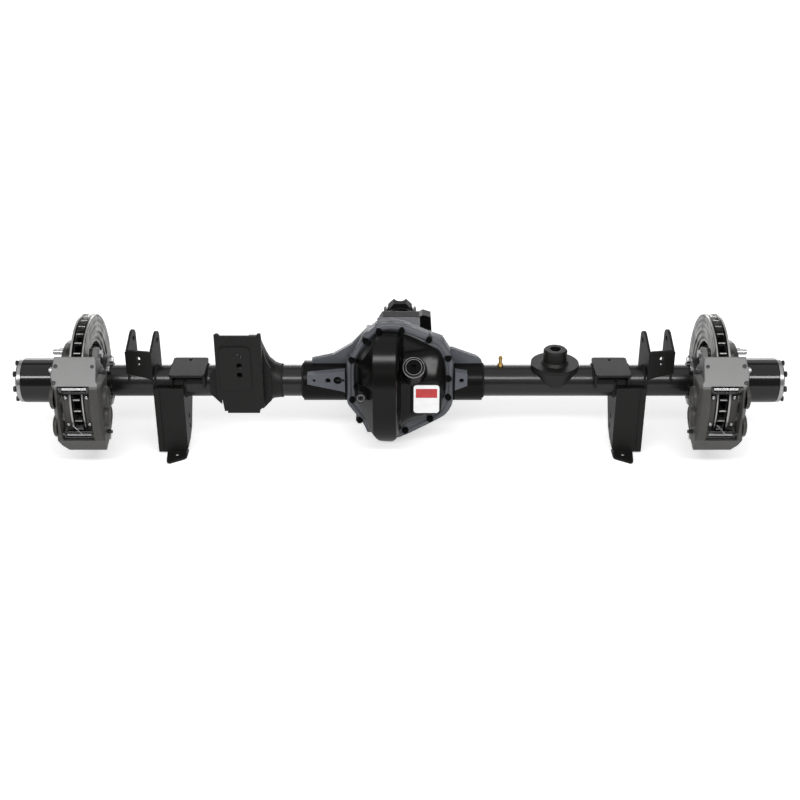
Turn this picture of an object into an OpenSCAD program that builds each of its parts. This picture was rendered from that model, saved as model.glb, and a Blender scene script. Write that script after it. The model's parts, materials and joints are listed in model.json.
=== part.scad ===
// Full-floating rear axle with disc brakes, millimetres.
// +X along the axle to the right, +Y forward to the pinion, +Z up.
// The origin is the middle of the wheel axis.

/* [Axle tubes] */
// Outside diameter of the axle tubes
tube_d = 82.5; // [76:0.5:90]
// Wall of the axle tubes
tube_wall = 9.5; // [7:0.5:12]
// Distance from the middle to the end of each tube
tube_end = 760; // [740:1:790]
// Distance from the middle to the inner end of each tube
tube_start = 143; // [141:1:148]

/* [Centre housing] */
// Wall of the cast bosses around the tubes
boss_wall = 11; // [8:0.5:14]
// Reach of the left tube boss from the middle
left_boss_end = 251; // [230:1:270]
// Reach of the right tube boss from the middle
right_boss_end = 214; // [195:1:235]
// Wall of the casting
cast_wall = 9; // [7:0.5:11]
// Inside radius over the ring gear
ring_room = 136; // [133:0.5:140]
// Inside radius over the differential case
case_room = 78; // [75:0.5:82]
// Gasket face of the cover, behind the wheel axis
gasket_y = 24; // [22:0.5:28]
// Thickness of the cover flange
cover_flange = 12; // [8:0.5:16]
// Wall of the cover
cover_wall = 6; // [4:0.5:8]
// Diameter of the cover bolts
cover_bolt_d = 10; // [8:0.5:12]
// Diameter of the fill plug
fill_d = 34; // [26:0.5:38]
// Diameter of the drain plug
drain_d = 18; // [14:0.5:22]
// Width of the plain badge plate
badge_w = 66; // [50:1:72]
// Height of the plain badge plate
badge_h = 80; // [60:1:90]
// Length of the pinion nose, from the wheel axis
nose_end = 318; // [300:1:335]

/* [Drive gears] */
// Teeth of the ring gear
ring_teeth = 41; // [41:1:41]
// Teeth of the pinion
pinion_teeth = 10; // [10:1:10]
// Pitch radius of the ring gear
ring_pitch_r = 120; // [116:0.5:122]
// Face width of the gear teeth
gear_face = 34; // [28:0.5:38]
// Share of the pitch that a tooth takes up
tooth_share = 0.4; // [0.34:0.01:0.42]
// Outside radius of the differential case
case_r = 68; // [64:0.5:70]
// Radius of the trunnions of the case
trunnion_r = 30; // [28:0.5:32]
// Outside radius of the carrier bearings
carrier_bearing_r = 46; // [43:0.5:48]
// Width of the carrier bearings
carrier_bearing_w = 20; // [16:0.5:22]
// Radius of the pinion shaft
pinion_shaft_r = 22; // [20:0.5:23]
// Radius of the cross pin
cross_pin_r = 10; // [8:0.5:11]

/* [Wheel ends] */
// Radius of the axle shafts
shaft_r = 18; // [16:0.5:19]
// Thickness of the spindle flange
spindle_flange_t = 14; // [10:0.5:16]
// Radius of the spindle flange
spindle_flange_r = 66; // [62:0.5:70]
// Spindle radius under the inner wheel bearing
spindle_in_r = 36; // [34:0.5:37]
// Spindle radius under the outer wheel bearing
spindle_out_r = 29; // [27:0.5:30]
// Outside diameter of the hub barrel
hub_d = 116; // [112:0.5:122]
// Length of the hub barrel outside the wheel face
hub_out = 114; // [104:1:124]
// Edge of the hub flange outside the circle of the wheel studs
flange_edge = 12.45; // [11:0.05:13.5]
// Thickness of the hub flange
hub_flange_t = 16; // [12:0.5:18]
// Thickness of the axle shaft flange
shaft_flange_t = 13; // [10:0.5:16]
// Circle of the bolts in the shaft flange
flange_bolt_pcd = 100; // [98:0.5:101]
// Diameter of the flange bolts
flange_bolt_d = 9; // [7:0.5:10]
// Circle of the wheel studs
stud_pcd = 165.1; // [160:0.1:170]
// Number of wheel studs
stud_n = 8; // [6:1:8]
// Diameter of the wheel studs
stud_d = 14; // [12:0.5:15]
// Length of the studs outside the wheel face
stud_out = 32; // [26:1:45]

/* [Brakes] */
// Diameter of the rotor
rotor_d = 348; // [340:1:352]
// Thickness of the vented rotor
rotor_t = 36; // [30:0.5:38]
// Thickness of each rotor plate
rotor_plate = 9; // [7:0.5:10]
// Number of vanes in the rotor
vane_n = 36; // [24:1:42]
// Gap between the hub flange and the inside of the rotor hat
hat_gap = 3; // [2:0.5:5]
// Depth of the rotor hat from the rotor to the wheel face
hat_depth = 41; // [38:0.5:46]
// Wall of the rotor hat
hat_wall = 7; // [5:0.5:7.5]
// Thickness of the caliper bracket
bracket_t = 9; // [7:0.5:10]
// Space from the caliper bracket to the rotor
bracket_gap = 10; // [8:0.5:14]
// Outside radius of the caliper about the wheel axis
caliper_r = 205; // [200:0.5:210]
// Reach of the caliper inboard of the rotor's middle
caliper_in = 66; // [64:0.5:72]
// Reach of the caliper outboard of the rotor's middle
caliper_out = 59; // [57:0.5:63]
// Angle of the middle of the caliper above the horizontal
caliper_clock = 4.75; // [0:0.25:8]
// Thickness of the pad linings
lining_t = 12; // [9:0.5:13]
// Thickness of the pad plates
pad_plate = 6; // [5:0.5:7]
// Radius of the caliper pistons
piston_r = 21; // [18:0.5:22]
// Radius of the pad pins
pad_pin_r = 5; // [4:0.25:6]
// Stroke of the pads
pad_stroke = 0.5; // [0.4:0.05:0.8]

/* [Brackets] */
// Plate thickness of the brackets
plate = 6; // [5:0.5:8]
// Middle of the spring perches from the middle of the axle
perch_x = 404; // [395:1:412]
// Diameter of the spring perch flange
perch_d = 125; // [115:1:130]
// Diameter of the spring perch neck
perch_neck = 62; // [54:1:70]
// Height of the top of the spring perch
perch_top = 91; // [84:1:96]
// Bore of the spring perch
perch_bore = 29; // [20:0.5:34]
// Middle of the upper link brackets from the middle of the axle
upper_x = 671; // [664:1:680]
// Gap between the ears of the upper link brackets
upper_gap = 58; // [50:0.5:62]
// Height of the upper link bolt
upper_bolt_z = 108; // [102:1:114]
// Hole for the upper link bolt
upper_bolt_d = 14.5; // [12:0.5:16]
// Turn of the upper link brackets towards the middle
upper_yaw = 9; // [6:0.5:12]
// Inner edge of the lower link brackets from the middle of the axle
lower_x = 561; // [556:1:568]
// Width of the lower link brackets
lower_w = 77; // [72:1:84]
// Depth of the lower link brackets below the wheel axis
lower_z = 182; // [176:1:188]
// Hole for the lower link bolt
lower_bolt_d = 14.5; // [12:0.5:18]
// Lap of the bump-stop pads over the lower link brackets, along the tube
bump_lap = 34; // [28:0.5:40]
// Width of the bump-stop pads
bump_w = 91; // [84:1:96]
// Space between the track-bar bracket and the bump-stop pad
track_gap = 33; // [28:0.5:40]
// Width of the track-bar bracket
track_w = 119; // [114:1:124]
// Height of the track-bar bracket
track_z = 168; // [160:1:174]
// Hole for the track-bar bolt
track_bolt_d = 15; // [12:0.5:18]

/* [Clearances] */
// Running clearance between pieces that turn or slide
run_clear = 0.4; // [0.3:0.05:0.5]
// Press fit clearance
fit_clear = 0.05; // [0.02:0.01:0.1]
// Clearance of bolts in their holes, on the radius
bolt_clear = 0.5; // [0.3:0.1:0.8]

/* [Hidden] */
$fn = 64;
tube_r = tube_d / 2;
tube_bore_r = tube_r - tube_wall;
boss_r = tube_r + boss_wall;
bowl_end = tube_start - 11;
// Stations along the wheel end, from the tube outwards
bracket_x = tube_end + spindle_flange_t;
rotor_x0 = bracket_x + bracket_t + bracket_gap;
rotor_x1 = rotor_x0 + rotor_t;
rotor_mid = (rotor_x0 + rotor_x1) / 2;
wheel_face = rotor_x1 + hat_depth;
hub_end = wheel_face + hub_out;
hub_start = bracket_x + bracket_t + 3;
hub_r = hub_d / 2;
rotor_r = rotor_d / 2;
hub_flange_r = stud_pcd / 2 + flange_edge;
hat_r = hub_flange_r + hat_gap + hat_wall;
// Wheel bearings
inner_cup_r = spindle_in_r + 14;
outer_cup_r = spindle_out_r + 13;
inner_bearing_x = hub_start + 8;
outer_bearing_x = hub_end - 52;
bearing_w = 24;
nut_x = outer_bearing_x + bearing_w + 1;
nut_t = 14;
spindle_bore_r = shaft_r + 3.5;
housing_bore_r = shaft_r + 3.2;
spindle_bolt_r = (spindle_flange_r + spindle_in_r) / 2 + 2;
// Bevel gears with their apex at the origin
ring_cone = atan(ring_teeth / pinion_teeth);
pinion_cone = 90 - ring_cone;
cone_dist = ring_pitch_r / sin(ring_cone);
gear_module = 2 * ring_pitch_r / ring_teeth;
tooth_add = 0.8 * gear_module;
tooth_ded = 1.0 * gear_module;
face_scale = (cone_dist - gear_face) / cone_dist;
ring_back = 60;
ring_bore_r = (ring_pitch_r - tooth_ded * cos(ring_cone)) * face_scale - 5;
case_flange_t = 12;
case_flange_x = ring_back + case_flange_t;
ring_bolt_r = ring_bore_r + 12;
ring_bolt_n = 12;
saddle_x = 84;
saddle_end = saddle_x + carrier_bearing_w;
cap_r = carrier_bearing_r + 16;
cap_bolt_z = carrier_bearing_r + 9;
side_gear_x = 26;
gear_cavity_r = 50;
// Pinion stations along Y
pinion_head_y = cone_dist * cos(pinion_cone) + tooth_ded * sin(pinion_cone);
bearing1_y = pinion_head_y + 14;
bearing1_w = 28;
bearing1_r = pinion_shaft_r + 26;
bearing2_w = 22;
bearing2_y = nose_end - 52;
bearing2_r = pinion_shaft_r + 20;
seal_y = nose_end - 12;
yoke_y = nose_end + 3;
yoke_len = 40;
yoke_ear_y = yoke_y + 56;
nut_y = yoke_y + yoke_len + fit_clear;
// Pads, along X from the rotor's middle
pad_in0 = rotor_x0 - pad_stroke - run_clear - lining_t - pad_plate;
pad_out1 = rotor_x1 + pad_stroke + run_clear + lining_t + pad_plate;
pad_r0 = 122;
pad_r1 = rotor_r - 3;
pad_mid = -5;
pad_half = 21;
piston_mid_r = (pad_r0 + pad_r1) / 2;
piston_angles = [pad_mid - 10, pad_mid + 10];
piston_len = 18;
window_z0 = -90;
window_z1 = 62;
window_r = rotor_r + 4;
pin_r = rotor_r + 14;
pin_zs = [window_z0 + 12, window_z1 - 12];
caliper_half = 39.5;
caliper_low = 43;
ear_r = caliper_r - 55;
caliper_bolt_d = 12;
// Cover outline and its bolts, seen from behind
cover_outline = [[-93, 146], [-60, 174], [-24, 181], [12, 174], [76, 146], [109, 134], [131, 97],
  [139, 66], [140, -46], [129, -71], [114, -89], [0, -153], [-33, -156], [-72, -145],
  [-92, -114], [-136, -55], [-140, -42], [-139, 75], [-126, 90]];
cover_bolts_at = [[-88, 134], [4, 163], [74, 137], [-124, 79], [124, 84], [126, 26], [126.5, -29],
  [79, -93], [14, -128], [-106, -97], [-125, -36], [-54, 161]];
bolt_deep = 9;
cover_face = -gasket_y - cover_flange;
// Stations of the brackets along the tubes, from the lower link brackets inwards
bump_x = lower_x + bump_lap - bump_w;
track_x = bump_x - track_gap - track_w;

// Helpers: bodies of revolution and plates along the axes
module rod_x(r, x0, x1) {
  translate([x0, 0, 0]) rotate([0, 90, 0]) cylinder(r = r, h = x1 - x0);
}

module rod_y(r, y0, y1) {
  translate([0, y0, 0]) rotate([-90, 0, 0]) cylinder(r = r, h = y1 - y0);
}

module ring_x(ro, ri, x0, x1) {
  difference() {
    rod_x(ro, x0, x1);
    rod_x(ri, x0 - 1, x1 + 1);
  }
}

module ring_y(ro, ri, y0, y1) {
  difference() {
    rod_y(ro, y0, y1);
    rod_y(ri, y0 - 1, y1 + 1);
  }
}

// Profile points are [radius, x]
module spin_x(pts) {
  rotate([0, 90, 0]) rotate_extrude() polygon(pts);
}

// Profile points are [radius, y]
module spin_y(pts) {
  rotate([-90, 0, 0]) rotate_extrude() polygon(pts);
}

// The flat shape holds [y, z] points
module slab_x(x0, x1) {
  translate([x0, 0, 0]) rotate([90, 0, 90]) linear_extrude(x1 - x0) children();
}

// The flat shape holds [x, z] points
module slab_y(y0, y1) {
  translate([0, y1, 0]) rotate([90, 0, 0]) linear_extrude(y1 - y0) children();
}

// The flat shape holds [x, y] points
module slab_z(z0, z1) {
  translate([0, 0, z0]) linear_extrude(z1 - z0) children();
}

module on_circle_x(n, r, start = 0) {
  for (i = [0:n - 1]) {
    rotate([start + i * 360 / n, 0, 0]) translate([0, 0, r]) children();
  }
}

// A hexagon bolt along +X with its head seat at x = 0 and the shank behind
module bolt_x(d, shank, head = 0) {
  rod_x(d / 2, -shank, 0);
  translate([0, 0, 0]) rotate([0, 90, 0]) cylinder(d = d * 1.75, h = d * 0.65, $fn = 6);
}

module mirrored() {
  mirror([1, 0, 0]) children();
}

module paint_black() {
  color([0.09, 0.09, 0.1]) children();
}

module paint_steel() {
  color([0.72, 0.73, 0.74]) children();
}

module paint_cast() {
  color([0.42, 0.41, 0.4]) children();
}

module paint_dark() {
  color([0.16, 0.16, 0.17]) children();
}

// Cast centre housing
module bowl_outside() {
  w = cast_wall;
  spin_x([[0, -bowl_end + 4], [boss_r + 18, -bowl_end + 8], [ring_room - 14, -96],
    [ring_room + w, -82 - w / 2], [ring_room + w, 8], [case_room + w + 12, 22], [case_room + w, 92],
    [boss_r + 14, bowl_end - 8], [0, bowl_end - 4]]);
}

module bowl_inside() {
  spin_x([[0, -saddle_x + 1], [ring_room - 16, -saddle_x + 1], [ring_room, -70], [ring_room, -4],
    [case_room, 14], [case_room, saddle_x - 1], [0, saddle_x - 1]]);
}

// Room behind the cover for the bearing caps
module cap_room() {
  intersection() {
    spin_x([[0, -saddle_end - 3], [cap_r + 6, -saddle_end - 3], [cap_r + 6, saddle_end + 3],
      [0, saddle_end + 3]]);
    translate([-200, -200, -200]) cube([400, 200, 400]);
  }
}

module cover_shape() {
  polygon(cover_outline);
}

module tube_boss(x0, x1) {
  rod_x(boss_r, x0, x1);
}

module housing_webs() {
  t = 14;
  slab_y(-t / 2, t / 2) polygon([[-left_boss_end + 22, 0], [-left_boss_end + 22, boss_r + 12],
    [-174, 77], [-123, 109], [-89, 147], [-60, 130], [-60, 0]]);
  slab_y(-t / 2, t / 2) polygon([[right_boss_end - 2, 0], [right_boss_end - 2, boss_r + 6],
    [right_boss_end - 14, boss_r + 18], [136, 95], [80, 94], [60, 0]]);
  slab_y(-t / 2, t / 2) polygon([[-left_boss_end + 40, 0], [-left_boss_end + 40, -boss_r + 6],
    [-bowl_end - 14, -boss_r + 2], [-106, -88], [-60, -110], [-60, 0]]);
  slab_y(-t / 2, t / 2) polygon([[right_boss_end - 20, 0], [right_boss_end - 20, -boss_r + 6],
    [bowl_end + 10, -boss_r + 2], [104, -80], [60, -80], [60, 0]]);
  slab_z(-9, 9) polygon([[-left_boss_end + 30, 0], [-left_boss_end + 30, boss_r + 8], [-120, 120],
    [-50, 230], [50, 230], [116, 110], [right_boss_end - 12, boss_r + 8], [right_boss_end - 12, 0]]);
}

module boss_pads() {
  slab_y(-boss_r - 4, -boss_r + 20) polygon([[-left_boss_end + 11, 16], [-left_boss_end + 11, 42],
    [-bowl_end - 32, 50], [-bowl_end - 6, 52], [-bowl_end - 6, -10], [-bowl_end - 20, -4]]);
  slab_y(-boss_r - 4, -boss_r + 20) polygon([[bowl_end + 5, -4], [bowl_end + 5, 52],
    [bowl_end + 42, 46], [bowl_end + 42, 12]]);
}

module boss_pad_holes() {
  for (p = [[-222, 4], [-186, 7], [-161, 11], [-147, 4], [159, 6]]) {
    translate([p[0], -boss_r, 27]) rod_y(p[1], -10, 18);
  }
}

module nose_outside() {
  spin_y([[0, 40], [108, 40], [96, 112], [bearing1_r + 14, bearing1_y + 6],
    [bearing2_r + 15, bearing2_y - 30], [bearing2_r + 15, nose_end - 14],
    [bearing2_r + 9, nose_end - 8], [bearing2_r + 9, nose_end], [0, nose_end]]);
}

module nose_ribs() {
  slab_x(-7, 7) polygon([[70, 0], [70, 136], [120, 118], [180, 82], [250, 62], [280, 40], [280, 0]]);
  slab_x(30, 48) polygon([[40, 60], [40, 128], [105, 108], [130, 84], [130, 40]]);
  slab_x(-48, -30) polygon([[40, 60], [40, 128], [105, 108], [130, 84], [130, 40]]);
}

// Flange around the nose, with a lug on its right
module nose_flange() {
  slab_y(192, 232) polygon([[-58, 10], [-58, 80], [-48, 95], [52, 95], [62, 101], [84, 94],
    [87, 46], [70, 10]]);
}

// Flat block behind the cover's top edge
module top_block() {
  translate([-60, -gasket_y + 10, 90]) cube([112, 102, 51]);
}

module centre_housing() {
  paint_black() difference() {
    union() {
      intersection() {
        bowl_outside();
        translate([-300, -gasket_y, -300]) cube([600, 600, 600]);
      }
      slab_y(-gasket_y, -gasket_y + 18) cover_shape();
      for (p = cover_bolts_at) {
        translate([p[0], -gasket_y, p[1]]) rod_y(cover_bolt_d * 1.05, 0, 18);
      }
      tube_boss(-left_boss_end, -bowl_end + 20);
      tube_boss(bowl_end - 20, right_boss_end);
      nose_outside();
      housing_webs();
      boss_pads();
      nose_ribs();
      nose_flange();
      top_block();
    }
    bowl_inside();
    cap_room();
    boss_pad_holes();
    rod_x(tube_r + fit_clear, -left_boss_end - 1, -tube_start + fit_clear);
    rod_x(tube_r + fit_clear, tube_start - fit_clear, right_boss_end + 1);
    rod_x(housing_bore_r, -tube_start - 1, tube_start + 1);
    translate([-142, -400, -300]) cube([284, 400 - gasket_y, 600]);
    rod_x(carrier_bearing_r + fit_clear, -saddle_end - fit_clear, saddle_end + fit_clear);
    rod_y(bearing1_r + fit_clear, 60, bearing1_y + bearing1_w + fit_clear);
    rod_y(bearing2_r - 5, 60, nose_end - 20);
    rod_y(bearing2_r + fit_clear, bearing2_y - fit_clear, nose_end + 1);
    for (p = cover_bolts_at) {
      translate([p[0], -gasket_y, p[1]]) rod_y(cover_bolt_d / 2 + fit_clear, -1, bolt_deep + 2);
    }
    for (s = [-1, 1], z = [-cap_bolt_z, cap_bolt_z]) {
      translate([s * (saddle_x + carrier_bearing_w / 2), 0, z]) rod_y(5 + fit_clear, -1, 24);
    }
  }
}

module left_axle_tube() {
  paint_black() ring_x(tube_r, tube_bore_r, -tube_end, -tube_start);
}

module right_axle_tube() {
  paint_black() difference() {
    ring_x(tube_r, tube_bore_r, tube_start, tube_end);
    translate([262, 0, 0]) cylinder(r = 4 + fit_clear, h = tube_d);
  }
}

// Cover with the ring gear bulge and the smaller dome beside it
module cover_bulge(grow) {
  spin_x([[0, -saddle_end - 4 - grow], [cap_r + 8 + grow, -saddle_end - 4 - grow],
    [cap_r + 26 + grow, -saddle_end + 8 - grow], [ring_room - 34 + grow, -saddle_x + 2 - grow],
    [ring_room - 10 + grow, -73 - grow * 0.8], [ring_room - 2 + grow, -66 - grow * 0.4],
    [ring_room + grow, -56], [ring_room + grow, -16],
    [ring_room - 3 + grow, -8], [ring_room - 12 + grow, 0], [case_room + 10 + grow, 12],
    [case_room + grow, 26], [case_room + grow, saddle_x], [case_room - 3 + grow, saddle_end + grow],
    [cap_r + grow, saddle_end + 6 + grow], [0, saddle_end + 8 + grow]]);
}

fill_dir = 42;
fill_x = 35;
fill_out = 122;

module fill_frame() {
  rotate([-fill_dir, 0, 0]) translate([fill_x, 0, 0]) children();
}

module diff_cover() {
  paint_black() difference() {
    union() {
      slab_y(cover_face, -gasket_y - fit_clear) cover_shape();
      intersection() {
        cover_bulge(cover_wall);
        translate([-300, -300, -300]) cube([600, 300 - gasket_y - fit_clear, 600]);
      }
      fill_frame() rod_y(fill_d / 2 + 12, -fill_out, -60);
      translate([68, 0, -8]) slab_y(-case_room - cover_wall - 6, -40) square([60, 72], center = true);
      translate([-100, 0, 8]) rod_y(drain_d / 2 + 6, -112, -60);
      for (p = cover_bolts_at) {
        translate([p[0], 0, p[1]]) rod_y(cover_bolt_d * 1.05, cover_face - 3, -gasket_y - fit_clear);
      }
    }
    cover_bulge(0);
    slab_y(-gasket_y - fit_clear - 1, 100) square([700, 700], center = true);
    fill_frame() rod_y(fill_d / 2 + fit_clear, -fill_out - 1, -50);
    translate([-100, 0, 8]) rod_y(drain_d / 2 + fit_clear, -120, -40);
    for (p = cover_bolts_at) {
      translate([p[0], 0, p[1]]) rod_y(cover_bolt_d / 2 + bolt_clear, cover_face - 8, 0);
    }
  }
}

module cover_bolts() {
  paint_dark() for (p = cover_bolts_at) {
    translate([p[0], cover_face - 3 - fit_clear, p[1]]) {
      rod_y(cover_bolt_d / 2, 0, cover_flange + 3 + bolt_deep);
      rod_y(cover_bolt_d * 0.9, -1.5, 0);
      rotate([90, 0, 0]) translate([0, 0, 1]) cylinder(d = cover_bolt_d * 1.7, h = 6, $fn = 6);
    }
  }
}

module fill_plug() {
  paint_dark() fill_frame() difference() {
    union() {
      rod_y(fill_d / 2, -fill_out - fit_clear, -fill_out + 16);
      rod_y(fill_d / 2 + 7, -fill_out - 6, -fill_out - fit_clear);
    }
    translate([-6.5, -fill_out - 7, -6.5]) cube([13, 12, 13]);
  }
}

module drain_plug() {
  paint_dark() translate([-100, 0, 8]) difference() {
    union() {
      rod_y(drain_d / 2, -113, -98);
      rod_y(drain_d / 2 + 3, -117, -112 - fit_clear);
    }
    translate([-4, -118, -4]) cube([8, 9, 8]);
  }
}

module cover_badge() {
  color([0.93, 0.93, 0.93]) translate([68, -case_room - cover_wall - 6 - fit_clear, -8])
    rotate([90, 0, 0]) linear_extrude(2.4) union() {
      square([badge_w - 16, badge_h], center = true);
      square([badge_w, badge_h - 16], center = true);
      for (x = [-1, 1], z = [-1, 1]) {
        translate([x * (badge_w / 2 - 8), z * (badge_h / 2 - 8)]) circle(r = 8);
      }
    }
}

module vent_fitting() {
  color([0.72, 0.55, 0.22]) translate([262, 0, 0]) difference() {
    union() {
      translate([0, 0, tube_r - tube_wall + 1]) cylinder(r = 4, h = tube_wall + 3);
      translate([0, 0, tube_r + 0.3]) cylinder(r = 7.5, h = 7, $fn = 6);
      translate([0, 0, tube_r + 7]) cylinder(r = 4.2, h = 20);
      translate([0, 0, tube_r + 22]) cylinder(r1 = 5.4, r2 = 4.2, h = 6);
    }
    translate([0, 0, tube_r - tube_wall]) cylinder(r = 2.2, h = 60);
  }
}

// Caps over the carrier bearings
module bearing_caps() {
  paint_dark() for (s = [-1, 1]) {
    difference() {
      translate([s * (saddle_x + carrier_bearing_w / 2), 0, 0]) union() {
        intersection() {
          rod_x(cap_r, -carrier_bearing_w / 2 + 1, carrier_bearing_w / 2 - 1);
          translate([-50, -cap_r, -cap_r]) cube([100, cap_r - fit_clear, 2 * cap_r]);
        }
      }
      rod_x(carrier_bearing_r + fit_clear, -200, 200);
      for (z = [-cap_bolt_z, cap_bolt_z]) {
        translate([s * (saddle_x + carrier_bearing_w / 2), 0, z]) rod_y(5 + bolt_clear, -80, 10);
        translate([s * (saddle_x + carrier_bearing_w / 2), 0, z]) rod_y(12, -80, -22);
      }
    }
  }
}

module cap_bolts() {
  paint_dark() for (s = [-1, 1], z = [-cap_bolt_z, cap_bolt_z]) {
    translate([s * (saddle_x + carrier_bearing_w / 2), -22 - fit_clear, z]) {
      rod_y(5, 0, 44);
      rotate([90, 0, 0]) cylinder(r = 8.5, h = 7, $fn = 6);
    }
  }
}

module pinion_seal() {
  paint_dark() ring_y(bearing2_r, pinion_shaft_r + 8 + run_clear, seal_y, nose_end);
}

// Straight bevel teeth on rays from the apex at the origin, axis +Z
module bevel_teeth(n, cone, start) {
  pitch = 2 * PI * cone_dist * sin(cone) / n;
  half = pitch * tooth_share / 2;
  deep = tooth_ded + 0.8;
  tip = half - tooth_add * tan(20);
  root = half + deep * tan(20);
  rad = [sin(cone), 0, cos(cone)];
  nor = [cos(cone), 0, -sin(cone)];
  tan_dir = [0, 1, 0];
  outer = [rad * cone_dist - nor * deep - tan_dir * root, rad * cone_dist + nor * tooth_add - tan_dir * tip,
    rad * cone_dist + nor * tooth_add + tan_dir * tip, rad * cone_dist - nor * deep + tan_dir * root];
  pts = concat(outer, [for (p = outer) p * face_scale]);
  for (i = [0:n - 1]) {
    rotate([0, 0, start + i * 360 / n])
      polyhedron(pts, [[3, 2, 1, 0], [4, 5, 6, 7], [0, 1, 5, 4], [1, 2, 6, 5], [2, 3, 7, 6], [3, 0, 4, 7]]);
  }
}

function root_r(cone) = cone_dist * sin(cone) - tooth_ded * cos(cone);
function root_z(cone) = cone_dist * cos(cone) + tooth_ded * sin(cone);

module ring_gear() {
  c = ring_cone;
  color([0.5, 0.5, 0.52]) rotate([0, -90, 0]) difference() {
    union() {
      rotate_extrude() polygon([[root_r(c), root_z(c)], [root_r(c) + 2.5, root_z(c) + 3],
        [root_r(c) + 2.5, ring_back], [ring_bore_r, ring_back], [ring_bore_r, root_z(c) * face_scale],
        [root_r(c) * face_scale, root_z(c) * face_scale]]);
      bevel_teeth(ring_teeth, c, 90 + 180 / ring_teeth);
    }
    for (i = [0:ring_bolt_n - 1]) {
      rotate([0, 0, i * 360 / ring_bolt_n]) translate([ring_bolt_r, 0, ring_back - 18])
        cylinder(r = 5 + fit_clear, h = 30);
    }
  }
}

module ring_gear_bolts() {
  paint_dark() on_circle_x(ring_bolt_n, ring_bolt_r) {
    rod_x(5, -case_flange_x, -ring_back + 14);
    translate([-case_flange_x - fit_clear - 7, 0, 0]) rotate([0, 90, 0]) cylinder(r = 7.5, h = 7, $fn = 6);
    rod_x(5, -case_flange_x - 2, -case_flange_x + 1);
  }
}

module diff_case() {
  color([0.36, 0.36, 0.37]) difference() {
    spin_x([[trunnion_r, -saddle_end], [trunnion_r, -saddle_x + 3], [trunnion_r + 7, -saddle_x + 3],
      [trunnion_r + 12, -case_flange_x], [ring_bolt_r + 10, -case_flange_x],
      [ring_bolt_r + 10, -ring_back - fit_clear], [ring_bore_r - fit_clear, -ring_back - fit_clear],
      [ring_bore_r - fit_clear, -ring_back + 18], [case_r, -ring_back + 22], [case_r, 44],
      [trunnion_r + 12, 70], [trunnion_r + 7, saddle_x - 3], [trunnion_r, saddle_x - 3],
      [trunnion_r, saddle_end], [shaft_r + run_clear, saddle_end], [shaft_r + run_clear, -saddle_end]]);
    sphere(r = gear_cavity_r);
    cylinder(r = cross_pin_r + fit_clear, h = 4 * case_r, center = true);
    translate([-24, -2 * case_r, -27]) cube([48, 4 * case_r, 54]);
    on_circle_x(ring_bolt_n, ring_bolt_r) rod_x(5 + bolt_clear, -case_flange_x - 1, -ring_back + 1);
  }
}

module carrier_bearings() {
  paint_steel() for (s = [0, 1]) {
    mirror([s, 0, 0]) ring_x(carrier_bearing_r - run_clear, trunnion_r + fit_clear, saddle_x, saddle_end);
  }
}

// Cross pin with its two spider gears, as one running group
module cross_pin() {
  color([0.5, 0.5, 0.52]) {
    cylinder(r = cross_pin_r, h = 2 * case_r - 8, center = true);
    for (s = [0, 1]) {
      mirror([0, 0, s]) intersection() {
        translate([0, 0, 26]) spider_blank();
        sphere(r = gear_cavity_r - run_clear);
      }
    }
  }
}

module spider_blank() {
  difference() {
    cylinder(r1 = 13, r2 = 22, h = 22);
    for (i = [0:9]) {
      rotate([0, 0, 18 + i * 36]) translate([21, 0, -1]) rotate([0, 9, 0]) cylinder(r = 3, h = 30);
    }
  }
}

module pinion_gear() {
  c = pinion_cone;
  color([0.5, 0.5, 0.52]) difference() {
    rotate([-90, 0, 0]) union() {
      bevel_teeth(pinion_teeth, c, 180);
      rotate_extrude() polygon([[0, root_z(c) * face_scale], [root_r(c) * face_scale, root_z(c) * face_scale],
        [root_r(c), root_z(c)], [pinion_shaft_r + 11, root_z(c)], [pinion_shaft_r + 11, bearing1_y],
        [pinion_shaft_r, bearing1_y], [pinion_shaft_r, yoke_y + 2], [16, yoke_y + 2],
        [16, nut_y + 18], [14, nut_y + 20], [0, nut_y + 20]]);
    }
  }
}

module pinion_bearings() {
  paint_steel() {
    ring_y(bearing1_r - run_clear, pinion_shaft_r + fit_clear, bearing1_y + fit_clear,
      bearing1_y + bearing1_w);
    ring_y(bearing2_r - run_clear, pinion_shaft_r + fit_clear, bearing2_y, bearing2_y + bearing2_w);
  }
}

// Yoke: barrel in the seal, hub and two ears for the joint caps
module pinion_yoke() {
  paint_dark() difference() {
    union() {
      rod_y(pinion_shaft_r + 8, bearing2_y + bearing2_w + fit_clear, yoke_y + 4);
      spin_y([[0, yoke_y], [62, yoke_y], [62, yoke_y + 6], [42, yoke_y + 12], [36, yoke_y + yoke_len],
        [0, yoke_y + yoke_len]]);
      for (s = [0, 1]) {
        mirror([0, 0, s]) intersection() {
          slab_x(-50, 50) polygon([[yoke_y + 4, 20], [yoke_y + 8, 48], [yoke_y + 24, 67],
            [yoke_ear_y + 4, 67], [yoke_ear_y + 4, 34], [yoke_y + yoke_len - 4, 30]]);
          slab_y(yoke_y, yoke_ear_y + 10)
            polygon([[-46, 18], [-46, 40], [-18, 67], [18, 67], [46, 40], [46, 18]]);
        }
      }
    }
    rod_y(pinion_shaft_r + fit_clear, 100, yoke_y + 2 + fit_clear);
    rod_y(16 + fit_clear, 100, yoke_y + 200);
    translate([0, yoke_ear_y + 4, 0]) cylinder(r = 15, h = 200, center = true);
    for (s = [-1, 1], z = [-1, 1]) {
      translate([s * 19, 0, z * 50]) rod_y(3, yoke_ear_y - 14, yoke_ear_y + 10);
    }
  }
}

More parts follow.
